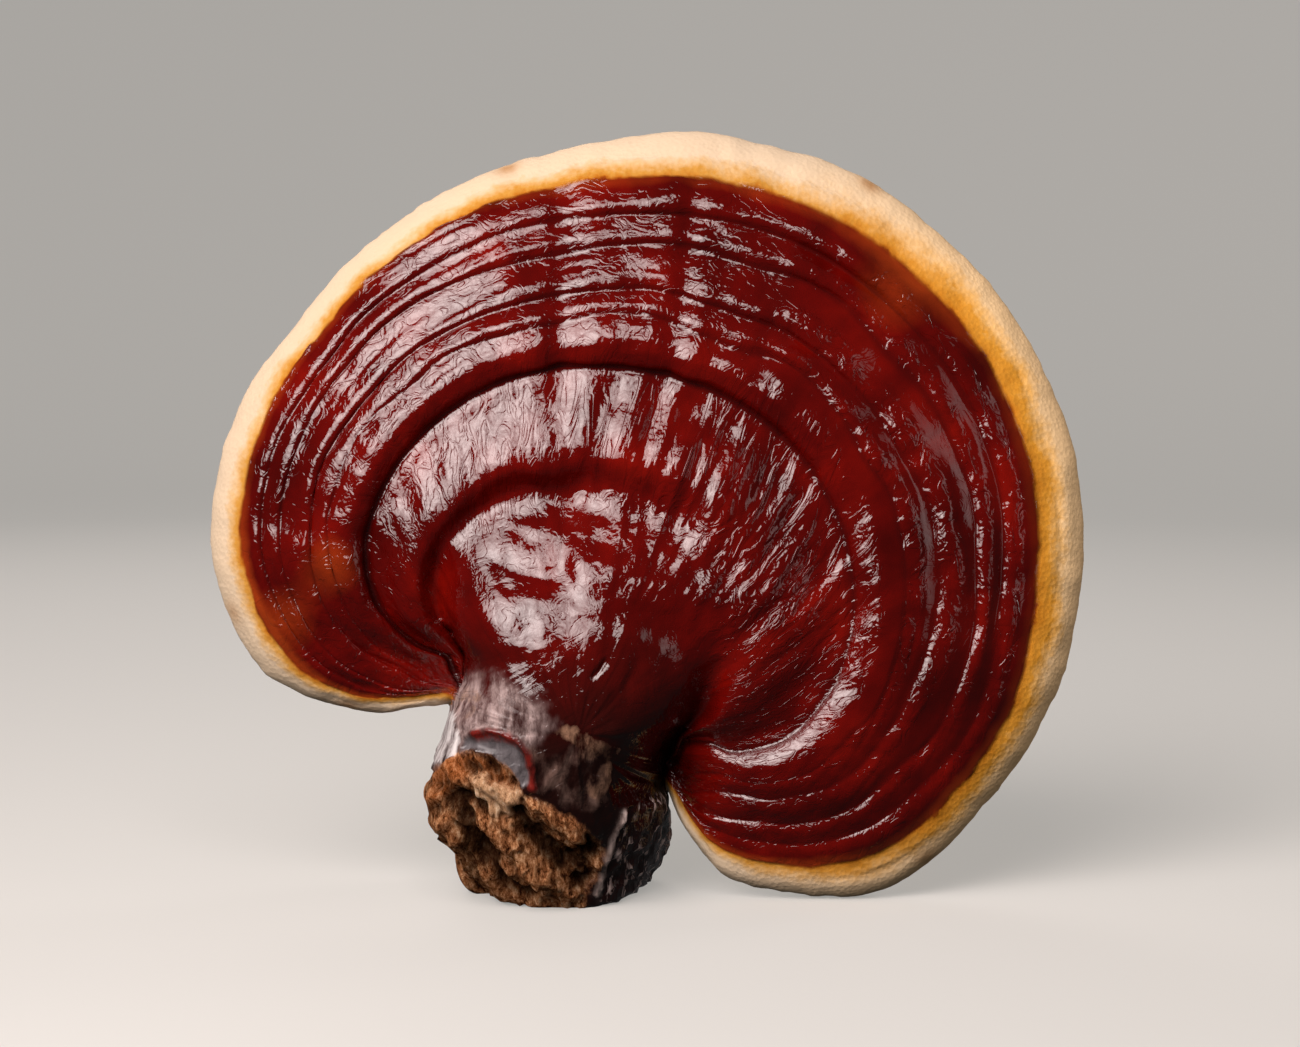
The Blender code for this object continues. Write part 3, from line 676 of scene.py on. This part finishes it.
def bodySurface():
    # the grid of places, out over the front, round the rim and in over the back, the rim being
    # r = R - e + e sin t with the height above its edge scaled by cos t; then every point
    # moves along its normal by the fine relief. Returns places and all that the material reads.
    body, rows = fruitingBody, fruitingBody["rows"]
    degrees = columnAngles()
    outline = around(body["outline"], degrees)
    rounding = body["rim"]["rounding"]
    front = rowsOut(degrees)
    turn = np.linspace(0, np.pi, rows["rim"] + 1)[:, None]
    rim = outline - rounding * (1 - np.sin(turn))
    back = np.linspace(1, 0, rows["back"] + 1)[1:-1, None] * (outline - rounding)
    radius = np.concatenate([front, rim, back])
    isFront = (np.arange(len(radius)) <= len(front) + rows["rim"] // 2)[:, None]
    degrees = degrees + 0 * radius
    outline = outline + 0 * radius
    x, h = planePlace(radius, degrees)

    frontD, frontStem = frontHeight(radius, degrees)
    backD, backStem = backHeight(radius, degrees)
    stem = np.where(isFront, frontStem, backStem)
    stem = np.maximum(stem, inStem(degrees) * softStep(24, 31, radius))
    edgeRounding = rounding + (body["stemEdgeRounding"] - rounding) * inStem(degrees)
    past = np.clip((radius - outline + edgeRounding) / edgeRounding, 0, 1)
    depth = edgeDepth(degrees, outline)
    d = depth + (np.where(isFront, frontD, backD) - depth) * np.sqrt(1 - past**2)

    lacquer, groove, hump = curves("lacquerEdge mainGroove humpEdge", degrees)
    ragged = 0.35 * layeredNoise(stacked(x, h, 0) / 2.5, 2, 5)
    across = (radius - lacquer + ragged) / (outline - lacquer)
    across = np.where(isFront, across, 2 - np.minimum(across, 1))
    lacquered = np.where(isFront, 1 - softStep(-0.06, 0.06, across), 0)
    lacquered = np.maximum(lacquered, stem)

    # folds are strongest over the inner ring's right side, and the outer rings' flanks are
    # smooth on the right
    heights = relief["heights"]
    spot = stacked(x, h, d)
    folds, fans = crustFolds(x, h, radius)
    turned = (degrees + 90) % 360 - 90
    sectors = {name: between(*span, turned) for name, span in relief["sectors"].items()}
    ringShare = np.clip((radius - 0.55 * hump) / (groove - 0.55 * hump), 0, 1)
    innerRight = sectors["folded"] * np.sin(np.pi * ringShare) ** 0.7 * (1 - stem * (h < -6))
    toRight = sectors["smooth"] * softStep(0.98, 1.02, radius / groove) * isFront
    ring = ringPlace(radius, degrees)
    flank = softStep(0.5, 0.7, ring % 1)
    smoothRight = toRight * flank
    onHump = 1 - softStep(0.75, 1.05, radius / hump)
    lowRight = sectors["calm"] * isFront
    calm = (1 - 0.4 * onHump) * (1 - 0.65 * lowRight)
    folded = np.where(isFront, 0.34 - 0.22 * smoothRight + 0.5 * innerRight, 0) * calm

    # bumps and thin rings, strongest where the crust is thick
    onlyCap = 1 - stem
    fineRings = softNoise(stacked(*planePlace(4, degrees), radius / 0.75), 15)
    inRings = softStep(0, 2, radius - groove) * lacquered * onlyCap * isFront
    bumps = layeredNoise(spot / 9, 3, 40) * (1 - 0.6 * smoothRight)
    humpBumps = layeredNoise(spot / (4.5, 4.5, 6), 2, 44) * onHump * (1 - 0.6 * stem)
    bumps = heights["bumps"] * bumps + heights["humpBumps"] * humpBumps
    grooveShare = 0.75 + 0.25 * softStep(55, 85, turned) + 0.25 * softStep(-88, -90, turned)
    grooveLine = bell(radius - groove, 0.6) * onlyCap * np.minimum(grooveShare, 1) * isFront

    masks = brokenFoot(spot, inStem(degrees))
    for name in masks:
        allRound = name in ("torn", "facet", "bloom", "whiteStrip")
        masks[name] = masks[name] * stem * (1 if allRound else isFront)
    torn = masks["torn"]
    tornRelief, crevice = tornFleshRelief(spot, masks["paleLump"])
    tornRelief = tornRelief * (1 - 0.6 * softStep(-3.0, -0.4, radius - outline))
    lipWidth = 0.8 + 0.5 * softNoise(stacked(x, h, 0) / 3, 62) + 0.3 * softStep(-17, -24, x)
    lip = bell(fromPath(x, h, relief["flakeLip"]), lipWidth) * softStep(-9, 0, d) * stem
    # the front edge's line: a raised ridge, painted pale as a highlight along it
    edgeLine = bell(fromPath(x, h, relief["frontEdge"]), 0.42) * softStep(-14, -4, d) * stem * isFront
    ribs = creasedNoise(spot / (1.7, 8, 2.2), 2, 60)

    uneven, creases = marginRelief(spot, radius, degrees, across)
    offset = lacquered * (folded * folds + bumps - furrowDepth(x, h) * isFront)
    offset = offset + (1 - lacquered) * (uneven + creases * isFront)
    offset = offset * (1 - torn) + tornRelief * torn
    forms = {
        "fineRings": fineRings * (1 - 0.85 * smoothRight) * inRings,
        "grooveLine": grooveLine,
        "lacquerStep": lacquered * onlyCap * (1 - 0.8 * toRight) * isFront,
        "lip": lip,
        "edgeLine": edgeLine,
        "flake": masks["flake"],
        "ribs": masks["facet"] * (ribs - 0.6),
    }
    offset = offset + sum(heights[name] * form for name, form in forms.items())

    place = spot + surfaceNormals(spot) * offset[..., None]

    # painted shade: the ring valleys and the main groove are darkened in colour
    valley = 1 - np.abs(2 * (ring % 1) - 1)
    valley = (1 - softStep(0.0, 0.22, valley)) * inRings
    thin = sum(bell(np.hypot(x - px, h - ph), size) for px, ph, size in relief["thinLacquer"])
    thinEdge = around(relief["thinEdge"], degrees) * softStep(-0.45, -0.02, across)
    stain = 0
    for angle, out in relief["stains"]:
        px, ph = planePlace(out, angle)
        fromStain = np.hypot(np.hypot(x - px, h - ph), d - relief["stainDepth"])
        stain = stain + bell(fromStain, relief["stainSize"])
    wrinkled = 0.3 + 0.3 * toRight * (1 - flank) - 0.26 * smoothRight + 0.35 * innerRight
    reads = {
        "across": across * onlyCap - 0.6 * stem,
        "lacquered": lacquered,
        "cavity": np.clip(valley * 0.45 + 0.8 * grooveLine, 0, 1),
        "thin": thin + thinEdge * isFront * onlyCap * (1 - inStem(degrees)),
        "stain": stain,
        "farSide": sectors["ochreAndLight"],
        "folded": np.where(isFront, wrinkled, 0.1) * (1 - 0.5 * lowRight),
        "onHump": np.where(isFront, np.maximum(0.6 * onHump, stem), 0),
        "crinkled": lacquered * (1 - 0.8 * smoothRight * isFront) * (1 - 0.4 * onHump),
        "lip": lip * (1 - torn),
        "crevice": crevice * torn,
        "edgeLine": edgeLine,
        "stem": stem,
        **masks,
        "fan": fans,
    }
    print("surface worked out:", place.shape[0] * place.shape[1], "points")
    return place, reads


def closedQuads(rows, columns):
    # the numbers of a grid's points, of those beside them, and its faces, closed to a ring
    grid = np.arange(rows * columns).reshape(rows, columns)
    beside = np.roll(grid, -1, axis=1)
    quads = np.stack([grid[:-1], grid[1:], beside[1:], beside[:-1]], axis=-1).reshape(-1, 4)
    return grid, beside, quads.tolist()


def closedMesh(name, place, reads):
    # rows and columns become quads, closed by a fan of triangles at each pole
    rows, columns = place.shape[:2]
    points = np.concatenate([toWorld(place).reshape(-1, 3), toWorld(place[[0, -1]].mean(axis=1))])
    points[:, 2] = np.maximum(points[:, 2], 0)  # the foot's flat cut
    grid, beside, quads = closedQuads(rows, columns)
    frontPole, backPole = rows * columns, rows * columns + 1
    frontFan = np.stack([np.full(columns, frontPole), grid[0], beside[0]], axis=-1)
    backFan = np.stack([grid[-1], np.full(columns, backPole), beside[-1]], axis=-1)
    mesh = bpy.data.meshes.new(name)
    mesh.from_pydata(points, [], quads + frontFan.tolist() + backFan.tolist())
    for key, values in reads.items():
        kind, field = ("FLOAT_VECTOR", "vector") if values.ndim == 3 else ("FLOAT", "value")
        values = np.append(values, values[[0, -1]].mean(axis=1))  # the poles' values at the end
        mesh.attributes.new(key, kind, "POINT").data.foreach_set(field, values.astype(np.float32))
    mesh.validate()
    mesh.shade_smooth()
    return addObject(name, mesh)


# materials
def linear(colour):
    # "#rrggbb" in sRGB to linear red, green, blue and full alpha
    parts = [int(colour[k : k + 2], 16) / 255 for k in (1, 3, 5)]
    return [p / 12.92 if p <= 0.04045 else ((p + 0.055) / 1.055) ** 2.4 for p in parts] + [1]


def addNode(tree, kind, inputs=None, stops=None, **settings):
    # one node, its settings, its sockets' values or links, and a ramp's colour stops; a string
    # is a colour or names one of the mesh's attributes
    node = tree.nodes.new("ShaderNode" + kind)
    for key, value in settings.items():
        setattr(node, key, value)
    for socket, value in (inputs or {}).items():
        if isinstance(value, str):
            isColour = value[0] == "#"
            value = linear(value) if isColour else addNode(tree, "Attribute", attribute_name=value)["Fac"]
        if isinstance(value, bpy.types.NodeSocket):
            tree.links.new(value, node.inputs[socket])
        else:
            node.inputs[socket].default_value = value
    for k, (position, colour) in enumerate(stops or []):
        points = node.color_ramp.elements
        point = points[k] if k < 2 else points.new(position)
        point.position = position
        point.color = linear(colour)
    return node.outputs


def lacqueredCrust(tree, objectPlace, fan):
    # reishi's crust: a resin that dries like oxblood lacquer, orange where it is thin, with
    # painted shade darkening the main groove and the ring valleys
    cloudy = addNode(tree, "TexNoise", {"Vector": objectPlace, "Scale": 1 / 0.014, "Detail": 4})[0]
    base = addNode(tree, "ValToRGB", {0: cloudy}, [
        (0.30, "#3A0201"), (0.50, "#500402"), (0.72, "#6A0903"),
    ])[0]
    fanPlace = addNode(tree, "VectorMath", {0: fan, 1: (14, 14, 1 / 0.03)}, operation="MULTIPLY")[0]
    streaks = addNode(tree, "TexNoise", {"Vector": fanPlace, "Scale": 1, "Detail": 3})[0]
    streaks = addNode(tree, "MapRange", {0: streaks, 1: 0.45, 2: 0.75, 4: 0.55})[0]
    thinness = addNode(tree, "Math", {0: "thin", 1: cloudy}, operation="MULTIPLY")[0]
    thinness = addNode(tree, "MapRange", {0: thinness, 1: 0.15, 2: 0.75, 4: 0.75})[0]
    # the last colour is painted shade in the main groove and the ring valleys
    for mask, colour in ((streaks, "#3A0302"), (thinness, "#8E340E"), ("cavity", "#240303")):
        base = addNode(tree, "Mix", {0: mask, 6: base, 7: colour}, data_type="RGBA")[2]
    return base


def growingMargin(tree, objectPlace):
    # the growing edge: matt, downy flesh, ochre beside the crust and cream at the rim
    place = "across"
    for size, most in ((0.0011, 0.16), (0.009, 0.35)):  # fibres, clouds
        cloudy = addNode(tree, "TexNoise", {"Vector": objectPlace, "Scale": 1 / size, "Detail": 3})[0]
        cloudy = addNode(tree, "MapRange", {0: cloudy, 3: -most, 4: most})[0]
        place = addNode(tree, "Math", {0: place, 1: cloudy}, operation="ADD")[0]
    share = addNode(tree, "MapRange", {0: place, 1: -0.1, 2: 1.6})[0]
    base = addNode(tree, "ValToRGB", {0: share}, [
        (0.0, "#844212"), (0.04, "#A4641C"), (0.14, "#B28038"), (0.24, "#C09C6C"),
        (0.36, "#C6B094"), (1.0, "#C8B59C"),
    ])[0]
    # on the right the margin takes a paler ramp with a wider golden band: the band's own colour, and
    # painted light where the key light reaches the margin less
    farSide = addNode(tree, "ValToRGB", {0: share}, [
        (0.0, "#844212"), (0.04, "#B8741E"), (0.22, "#CE8F32"), (0.32, "#DCAA62"),
        (0.46, "#ECC896"), (1.0, "#ECCA9C"),
    ])[0]
    for mask, colour in (("farSide", farSide), ("stain", "#A47A50")):
        base = addNode(tree, "Mix", {0: mask, 6: base, 7: colour}, data_type="RGBA")[2]
    return base


def poreSurface(tree, objectPlace):
    # the underside: cream flesh pricked all over with pores, a few to the millimetre, drawn
    # at 0.8 mm so that they show
    cells = addNode(tree, "TexVoronoi", {"Vector": objectPlace, "Scale": 1 / 0.0008})[0]
    cloudy = addNode(tree, "TexNoise", {"Vector": objectPlace, "Scale": 1 / 0.02, "Detail": 4})[0]
    base = addNode(tree, "ValToRGB", {0: cloudy}, [
        (0.3, "#C9A877"), (0.5, "#DCC39A"), (0.7, "#E8D6B4"),
    ])[0]
    # darker dots at the pores: the tubes' own brown, and painted shade down in them
    pores = addNode(tree, "MapRange", {0: cells, 2: 0.28, 3: 0.7, 4: 0})[0]
    return addNode(tree, "Mix", {0: pores, 6: base, 7: "#9B7A4E"}, data_type="RGBA")[2], cells


def tornFlesh(tree, objectPlace):
    # inner flesh broken off its log: brown cork with darker fibres; painted shade darkens its
    # crevices and pits, and painted light makes it orange on the upper left and nearly cream on the
    # raised lump
    grainPlace = addNode(tree, "Mapping", {"Vector": objectPlace, "Rotation": (0, -0.7, 0),
                                           "Scale": (1, 1, 0.5)})[0]
    grain = addNode(tree, "TexNoise", {"Vector": grainPlace, "Scale": 1 / 0.001, "Detail": 6,
                                       "Roughness": 0.8})[0]
    base = addNode(tree, "ValToRGB", {0: grain}, [
        (0.37, "#1C0E08"), (0.46, "#804C2C"), (0.55, "#BE8458"), (0.66, "#EEC69C"),
    ])[0]
    # lit copies of the flesh: painted light on the upper left and on the raised lump
    litOrange = addNode(tree, "ValToRGB", {0: grain}, [
        (0.37, "#3E1C0C"), (0.5, "#B06636"), (0.66, "#E4AA7C"),
    ])[0]
    litPale = addNode(tree, "ValToRGB", {0: grain}, [
        (0.37, "#8A5A3A"), (0.52, "#DCAE84"), (0.66, "#F6DCBC"),
    ])[0]
    # painted shade down in the crevices and pits
    paintedCreviceShade = addNode(tree, "MapRange", {0: "crevice", 4: 0.9})[0]
    for mask, colour in (("orangeFlesh", litOrange), ("paleLump", litPale), (paintedCreviceShade, "#1A0D07")):
        base = addNode(tree, "Mix", {0: mask, 6: base, 7: colour}, data_type="RGBA")[2]
    return base, grain


def stemBark(tree, objectPlace, crust):
    # the crust low on the stem: dull, painted darker to nearly black towards the bottom as
    # shade, with grey bloom and tan scuffs
    streakPlace = addNode(tree, "Mapping", {"Vector": objectPlace, "Scale": (1, 1, 0.4)})[0]
    patchy = addNode(tree, "TexNoise", {"Vector": streakPlace, "Scale": 1 / 0.0026, "Detail": 6,
                                        "Roughness": 0.7})[0]
    height = addNode(tree, "SeparateXYZ", {0: objectPlace})[2]
    # painted shade: the stem's crust darkens towards the bottom
    low = addNode(tree, "MapRange", {0: height, 1: 0.052, 2: 0.028})[0]
    lowStemShade = addNode(tree, "Math", {0: low, 1: "stem"}, operation="MULTIPLY")[0]
    uneven = addNode(tree, "MapRange", {0: patchy, 1: 0.32, 2: 0.55, 3: 0.35})[0]
    spread = addNode(tree, "MapRange", {0: patchy, 1: 0.3, 2: 0.7})[0]
    # name, darker and paler colour, and the mask's values from which and to which it sets in:
    # a narrow step gives a scuff a crisp border, a wide one a soft border
    scuffs = [
        # grey bloom, whose paler parts are also a painted highlight
        ("bloom", "#2C1412", "#B09A96", 0, 1),
        ("greyBark", "#1C0806", "#665048", 0.15, 0.85),
        ("tan", "#2A1610", "#94705A", 0.4, 1.15),
        # near-white strip: partly bloom, partly a painted highlight
        ("whiteStrip", "#6A6060", "#DAD4D2", 0.2, 0.9),
        ("flake", "#242022", "#6C6668", 0.1, 0.6),
        ("lip", "#160404", "#74201A", 0.2, 0.8),
        # the front edge's pale line is a painted highlight along its ridge
        ("edgeLine", "#7A645E", "#C8B6AE", 0, 1),
    ]
    layers = [(lowStemShade, patchy, "#0C0302", "#220B08")]
    for name, darker, paler, stepFrom, stepTo in scuffs:
        share = addNode(tree, "Math", {0: name, 1: uneven}, operation="MULTIPLY")[0]
        share = addNode(tree, "MapRange", {0: share, 1: stepFrom, 2: stepTo})[0]
        layers.append((share, spread, darker, paler))
    # the broken side is darker still, with pale threads running down it: partly fibres, partly
    # painted highlights on its ribs
    ribPlace = addNode(tree, "Mapping", {"Vector": objectPlace, "Scale": (1, 1, 0.12)})[0]
    ribs = addNode(tree, "TexNoise", {"Vector": ribPlace, "Scale": 1 / 0.0014, "Detail": 3})[0]
    threadHighlights = addNode(tree, "MapRange", {0: ribs, 1: 0.55, 2: 0.64, 4: 0.9})[0]
    side = addNode(tree, "Mix", {0: patchy, 6: "#080202", 7: "#34100B"}, data_type="RGBA")[2]
    layers.append(("facet", threadHighlights, side, "#E2C8C0"))
    base = crust
    for share, paleness, darker, paler in layers:
        colour = addNode(tree, "Mix", {0: paleness, 6: darker, 7: paler}, data_type="RGBA")[2]
        base = addNode(tree, "Mix", {0: share, 6: base, 7: colour}, data_type="RGBA")[2]
    return base, ribs


def reishiMaterial():
    # dried reishi: glossy resin crust, matt margin and pores, rough torn flesh at the foot
    material = bpy.data.materials.new("lacquered_reishi")
    material.use_nodes = True
    tree = material.node_tree
    tree.nodes.clear()
    objectPlace = addNode(tree, "TexCoord")["Object"]
    fan = addNode(tree, "Attribute", attribute_name="fan")["Vector"]

    bark, ribs = stemBark(tree, objectPlace, lacqueredCrust(tree, objectPlace, fan))
    pores, cells = poreSurface(tree, objectPlace)
    flesh, grain = tornFlesh(tree, objectPlace)
    onBack = addNode(tree, "MapRange", {0: "across", 1: 1.75, 2: 2.05})[0]
    colour = growingMargin(tree, objectPlace)
    for mask, over in ((onBack, pores), ("lacquered", bark), ("torn", flesh)):
        colour = addNode(tree, "Mix", {0: mask, 6: colour, 7: over}, data_type="RGBA")[2]

    # gloss: full on the crust, dulled by bloom and scuffs, none on flesh
    dull = "bloom"
    for name in ("greyBark", "tan", "whiteStrip", "flake", "edgeLine"):
        dull = addNode(tree, "Math", {0: dull, 1: name}, operation="MAXIMUM")[0]
    shiny = addNode(tree, "MapRange", {0: dull, 3: 1, 4: 0.25})[0]
    whole = addNode(tree, "MapRange", {0: "torn", 3: 1, 4: 0})[0]
    for share in ("lacquered", whole):
        shiny = addNode(tree, "Math", {0: shiny, 1: share}, operation="MULTIPLY")[0]
    roughness = addNode(tree, "MapRange", {0: shiny, 3: 0.78, 4: 0.42})[0]

    # wrinkles: fine ones that fan out with the folds, and a crinkle with no direction
    fanPlace = addNode(tree, "VectorMath", {0: fan, 1: (15, 15, 1 / 0.0029)}, operation="MULTIPLY")[0]
    fanned = addNode(tree, "TexNoise", {"Vector": fanPlace, "Scale": 1, "Detail": 1.5,
                                        "Distortion": 1.4})[0]
    lumpy = addNode(tree, "TexNoise", {"Vector": objectPlace, "Scale": 1 / 0.0032, "Detail": 3,
                                       "Distortion": 0.4})[0]
    wrinkles = addNode(tree, "Mix", {0: "onHump", 2: fanned, 3: lumpy})[0]
    fromCrack = addNode(tree, "Math", {0: wrinkles, 1: 0.5}, operation="SUBTRACT")[0]
    fromCrack = addNode(tree, "Math", {0: fromCrack}, operation="ABSOLUTE")[0]
    plates = addNode(tree, "MapRange", {0: fromCrack, 2: 0.05}, interpolation_type="SMOOTHSTEP")[0]
    crinkle = addNode(tree, "TexNoise", {"Vector": objectPlace, "Scale": 1 / 0.0015, "Detail": 2.5})[0]
    onCrust = addNode(tree, "Math", {0: "folded", 1: "lacquered"}, operation="MULTIPLY")[0]
    onFlesh = addNode(tree, "MapRange", {0: "lacquered", 3: 0.35, 4: 0})[0]
    bump = None
    for strength, metres, height in [
        (onCrust, 0.0008, wrinkles),
        ("crinkled", 0.00003, plates),
        ("crinkled", 0.00013, crinkle),
        ("torn", 0.0012, grain),
        ("facet", 0.001, ribs),
        (onFlesh, 0.00025, cells),
    ]:
        inputs = {"Strength": strength, "Distance": metres, "Height": height}
        bump = addNode(tree, "Bump", inputs | ({"Normal": bump} if bump else {}))[0]
    shader = addNode(tree, "BsdfPrincipled", {
        "Base Color": colour, "Roughness": roughness, "Specular IOR Level": 0.0,
        "Coat Weight": shiny, "Coat Roughness": 0.06, "Coat IOR": 1.5, "Normal": bump,
        "Coat Normal": bump,
    })
    addNode(tree, "OutputMaterial", {"Surface": shader[0]})
    return material


body = closedMesh("fruiting_body_skin", *bodySurface())
body.data.materials.append(reishiMaterial())
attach(body, "root")
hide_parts("fruiting_body")
print("fruiting body made:", len(body.data.polygons), "faces")


# floor, lights
studio = {
    "floorColour": "#9E9C98",
    "floorMiddle": 0.02,
    "floorRadius": 0.65,
    "sweepRadius": 0.45,
    "wallTop": 1.3,
    "bendSteps": 12,
    "segments": 96,
    "world": 0.04,
    "lightColour": (1.0, 0.90, 0.87),
    "softbox": (1.25, 0.42),  # strength in a panel's middle and at its corners
    "beam": 120,  # degrees that a panel's grid lets the light fan out over
    "middle": (0, 15, 10),  # the place that the panels face, mm on the cap's plane
    "paperGlow": 0.9,
    # name: place from the middle (azimuth from the camera, elevation, distance), size, radiance
    "panels": {
        "key": ((-33, 32, 0.65), (0.55, 0.63), 13.5),
        "top": ((5, 43, 0.5), (0.12, 0.24), 9.0),
        "right strip": ((62, 12, 0.6), (0.13, 0.45), 1.4),
        "right back": ((115, 15, 0.8), (0.2, 0.6), 6.0),
        "left back": ((-160, 28, 0.7), (0.5, 0.5), 2.6),
    },
}


def turnedProfile(name, profile, segments):
    # each (radius, height) of the profile goes round the z axis: x = r cos t, y = r sin t
    radius, height = np.array(profile).T[..., None]
    t = np.linspace(0, 2 * np.pi, segments, endpoint=False)
    points = stacked(radius * np.cos(t), radius * np.sin(t), height + 0 * t).reshape(-1, 3)
    grid, _, quads = closedQuads(len(profile), segments)
    mesh = bpy.data.meshes.new(name)
    mesh.from_pydata(points, [], quads + [grid[0].tolist()])
    mesh.shade_smooth()
    return addObject(name, mesh)


def paperSweep():
    # a floor that curves up into a wall all round
    bend = np.linspace(0, np.pi / 2, studio["bendSteps"] + 1)
    flat, curve = studio["floorRadius"], studio["sweepRadius"]
    profile = [(studio["floorMiddle"], 0), (flat, 0)]
    profile += [(flat + curve * np.sin(t), curve * (1 - np.cos(t))) for t in bend[1:]]
    profile += [(flat + curve, studio["wallTop"])]
    sweep = turnedProfile("paper_sweep", profile, studio["segments"])
    material = bpy.data.materials.new("seamless_paper")  # matt, pale, unmarked
    material.use_nodes = True
    paper = linear(studio["floorColour"])
    for socket, value in {"Base Color": paper, "Roughness": 0.9, "Emission Color": paper,
                          "Emission Strength": studio["paperGlow"]}.items():
        material.node_tree.nodes["Principled BSDF"].inputs[socket].default_value = value
    sweep.data.materials.append(material)
    # the pale paper throws no light back at the mushroom, so its crust stays dark
    sweep.visible_diffuse = False
    sweep.visible_glossy = False


def softPanels():
    # each panel faces the cap's middle, fades towards its edges and has a grid, as a softbox
    # does; its power is radiance times pi times its area, less what the grid takes
    middle = Vector(toWorld(studio["middle"]))
    halfBeam = np.radians(studio["beam"] / 2)
    passed = 1 - halfBeam / np.tan(halfBeam)
    for name, ((azimuth, elevation, distance), size, radiance) in studio["panels"].items():
        a, e = np.radians(azimuth), np.radians(elevation)
        away = Vector((np.sin(a) * np.cos(e), -np.cos(a) * np.cos(e), np.sin(e)))
        lamp = bpy.data.lights.new(name, "AREA")
        lamp.shape = "RECTANGLE"
        lamp.size, lamp.size_y = size
        lamp.spread = 2 * halfBeam
        lamp.energy = radiance * np.pi * size[0] * size[1] * passed
        lamp.color = studio["lightColour"]
        lamp.use_nodes = True
        acrossPanel = addNode(lamp.node_tree, "NewGeometry")["Parametric"]
        fromMiddle = addNode(lamp.node_tree, "VectorMath", {0: acrossPanel, 1: (0.5, 0.5, 0)},
                             operation="DISTANCE")["Value"]
        strongest, weakest = studio["softbox"]
        strength = addNode(lamp.node_tree, "MapRange", {
            0: fromMiddle, 1: 0.05, 2: 0.6, 3: strongest, 4: weakest,
        })[0]
        lamp.node_tree.links.new(strength, lamp.node_tree.nodes["Emission"].inputs["Strength"])
        panel = addObject(name, lamp)
        placeFacing(panel, middle, away, distance)
        panel.visible_camera = False


def dimWorld():
    world = bpy.data.worlds.new("studio")
    world.use_nodes = True
    background = world.node_tree.nodes["Background"].inputs
    background["Strength"].default_value = studio["world"]
    background["Color"].default_value = (1, 1, 1, 1)
    bpy.context.scene.world = world


paperSweep()
softPanels()
dimWorld()
print("studio set up")
